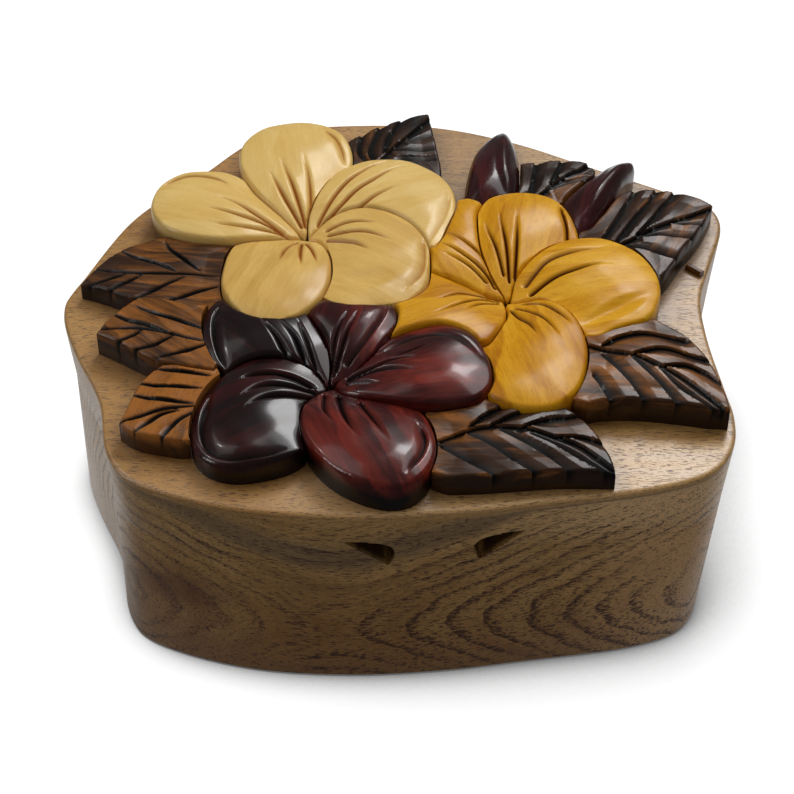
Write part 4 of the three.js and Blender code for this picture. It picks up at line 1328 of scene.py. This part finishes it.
def make_floor():
    """White to the camera but for the box's shadow. Highlights show it dimmer in front of the box and
    far away, and it throws little light on the box."""
    floor = Finish("floor")
    seen = floor.node("ShaderNodeLightPath", {}, {}, "Is Camera Ray")
    mirrored = floor.node("ShaderNodeLightPath", {}, {}, "Is Glossy Ray")
    point = floor.place()
    far = floor.vector("LENGTH", point, output="Value")
    near = floor.band(floor.axes(point, "Y")[0], -0.09, 0.0) * floor.band(far, 0.3, 0.2)
    glow = floor.blend(mirrored, grey(0.0), floor.blend(near, grey(0.02), grey(0.85)))
    under = floor.shade(16, Distance=CONTACT_REACH)
    contact = 1.0 - under * under * under * 5.0
    tilt = floor.joined(X=-0.8, Y=0.3, Z=0.52)
    beside = floor.shade(16, Distance=CAST_REACH, Normal=tilt)
    cast = floor.band(beside, 0.8, 0.25, 0.25, 1.0)
    white = floor.blend((contact * cast).at_least(0.1), grey(0.0), grey(1.0))
    own = floor.blend(mirrored, grey(0.4), grey(0.08))
    floor.set(Base_Color=floor.blend(seen, own, grey(0.15)), Roughness=0.9, Specular_IOR_Level=0.0,
              Emission_Color=floor.blend(seen, glow, white), Emission_Strength=1.0)
    mesh = bpy.data.meshes.new("floor")
    corners = [(x * FLOOR_HALF, y * FLOOR_HALF, 0) for x, y in ((-1, -1), (1, -1), (1, 1), (-1, 1))]
    mesh.from_pydata(corners, [], [[0, 1, 2, 3]])
    mesh.materials.append(floor.material)
    plane = shown("floor", mesh)
    plane.location.z = -FLOOR_DROP


def add_lamp(name, azimuth, elevation, width, height, power, mirrored, lighting):
    lamp = bpy.data.lights.new(name, "AREA")
    lamp.shape = "RECTANGLE"
    lamp.size = width
    lamp.size_y = height
    lamp.energy = power
    holder = shown(name, lamp)
    holder.visible_glossy = mirrored
    holder.visible_diffuse = lighting
    turn, rise = math.radians(azimuth), math.radians(elevation)
    away = Vector((math.sin(turn) * math.cos(rise), math.cos(turn) * math.cos(rise), math.sin(rise)))
    holder.location = away * LAMP_DISTANCE + Vector((0, 0, TOP_Z * MM))
    holder.rotation_euler = (-away).to_track_quat("-Z", "Y").to_euler()


def make_room():
    """White to the camera and dim to everything else."""
    world = bpy.data.worlds.new("room")
    world.use_nodes = True
    room = Nodes(world.node_tree)
    ends = world.node_tree.nodes
    for name, value in {"Color": grey(1.0), "Strength": ROOM_LIGHT}.items():
        room.feed(ends["Background"].inputs[name], value)
    dim = Value(room, ends["Background"].outputs[0])
    white = room.node("ShaderNodeBackground", {}, {"Color": grey(1.0)})
    seen = room.node("ShaderNodeLightPath", {}, {}, "Is Camera Ray")
    mix = room.node("ShaderNodeMixShader", {}, {0: seen, 1: dim, 2: white})
    room.feed(ends["World Output"].inputs["Surface"], mix)
    bpy.context.scene.world = world


def place_camera():
    camera = bpy.data.cameras.new("camera")
    camera.sensor_width = 36
    camera.lens = CAMERA_LENS
    camera.clip_start = 0.01
    holder = shown("camera", camera)
    holder.location = CAMERA_PLACE
    holder.rotation_euler = (math.radians(CAMERA_TILT), 0, 0)
    bpy.context.scene.camera = holder


bpy.context.scene.view_settings.view_transform = "Standard"
make_floor()
make_room()
for name, facts in LAMPS.items():
    add_lamp(name, *facts)
place_camera()
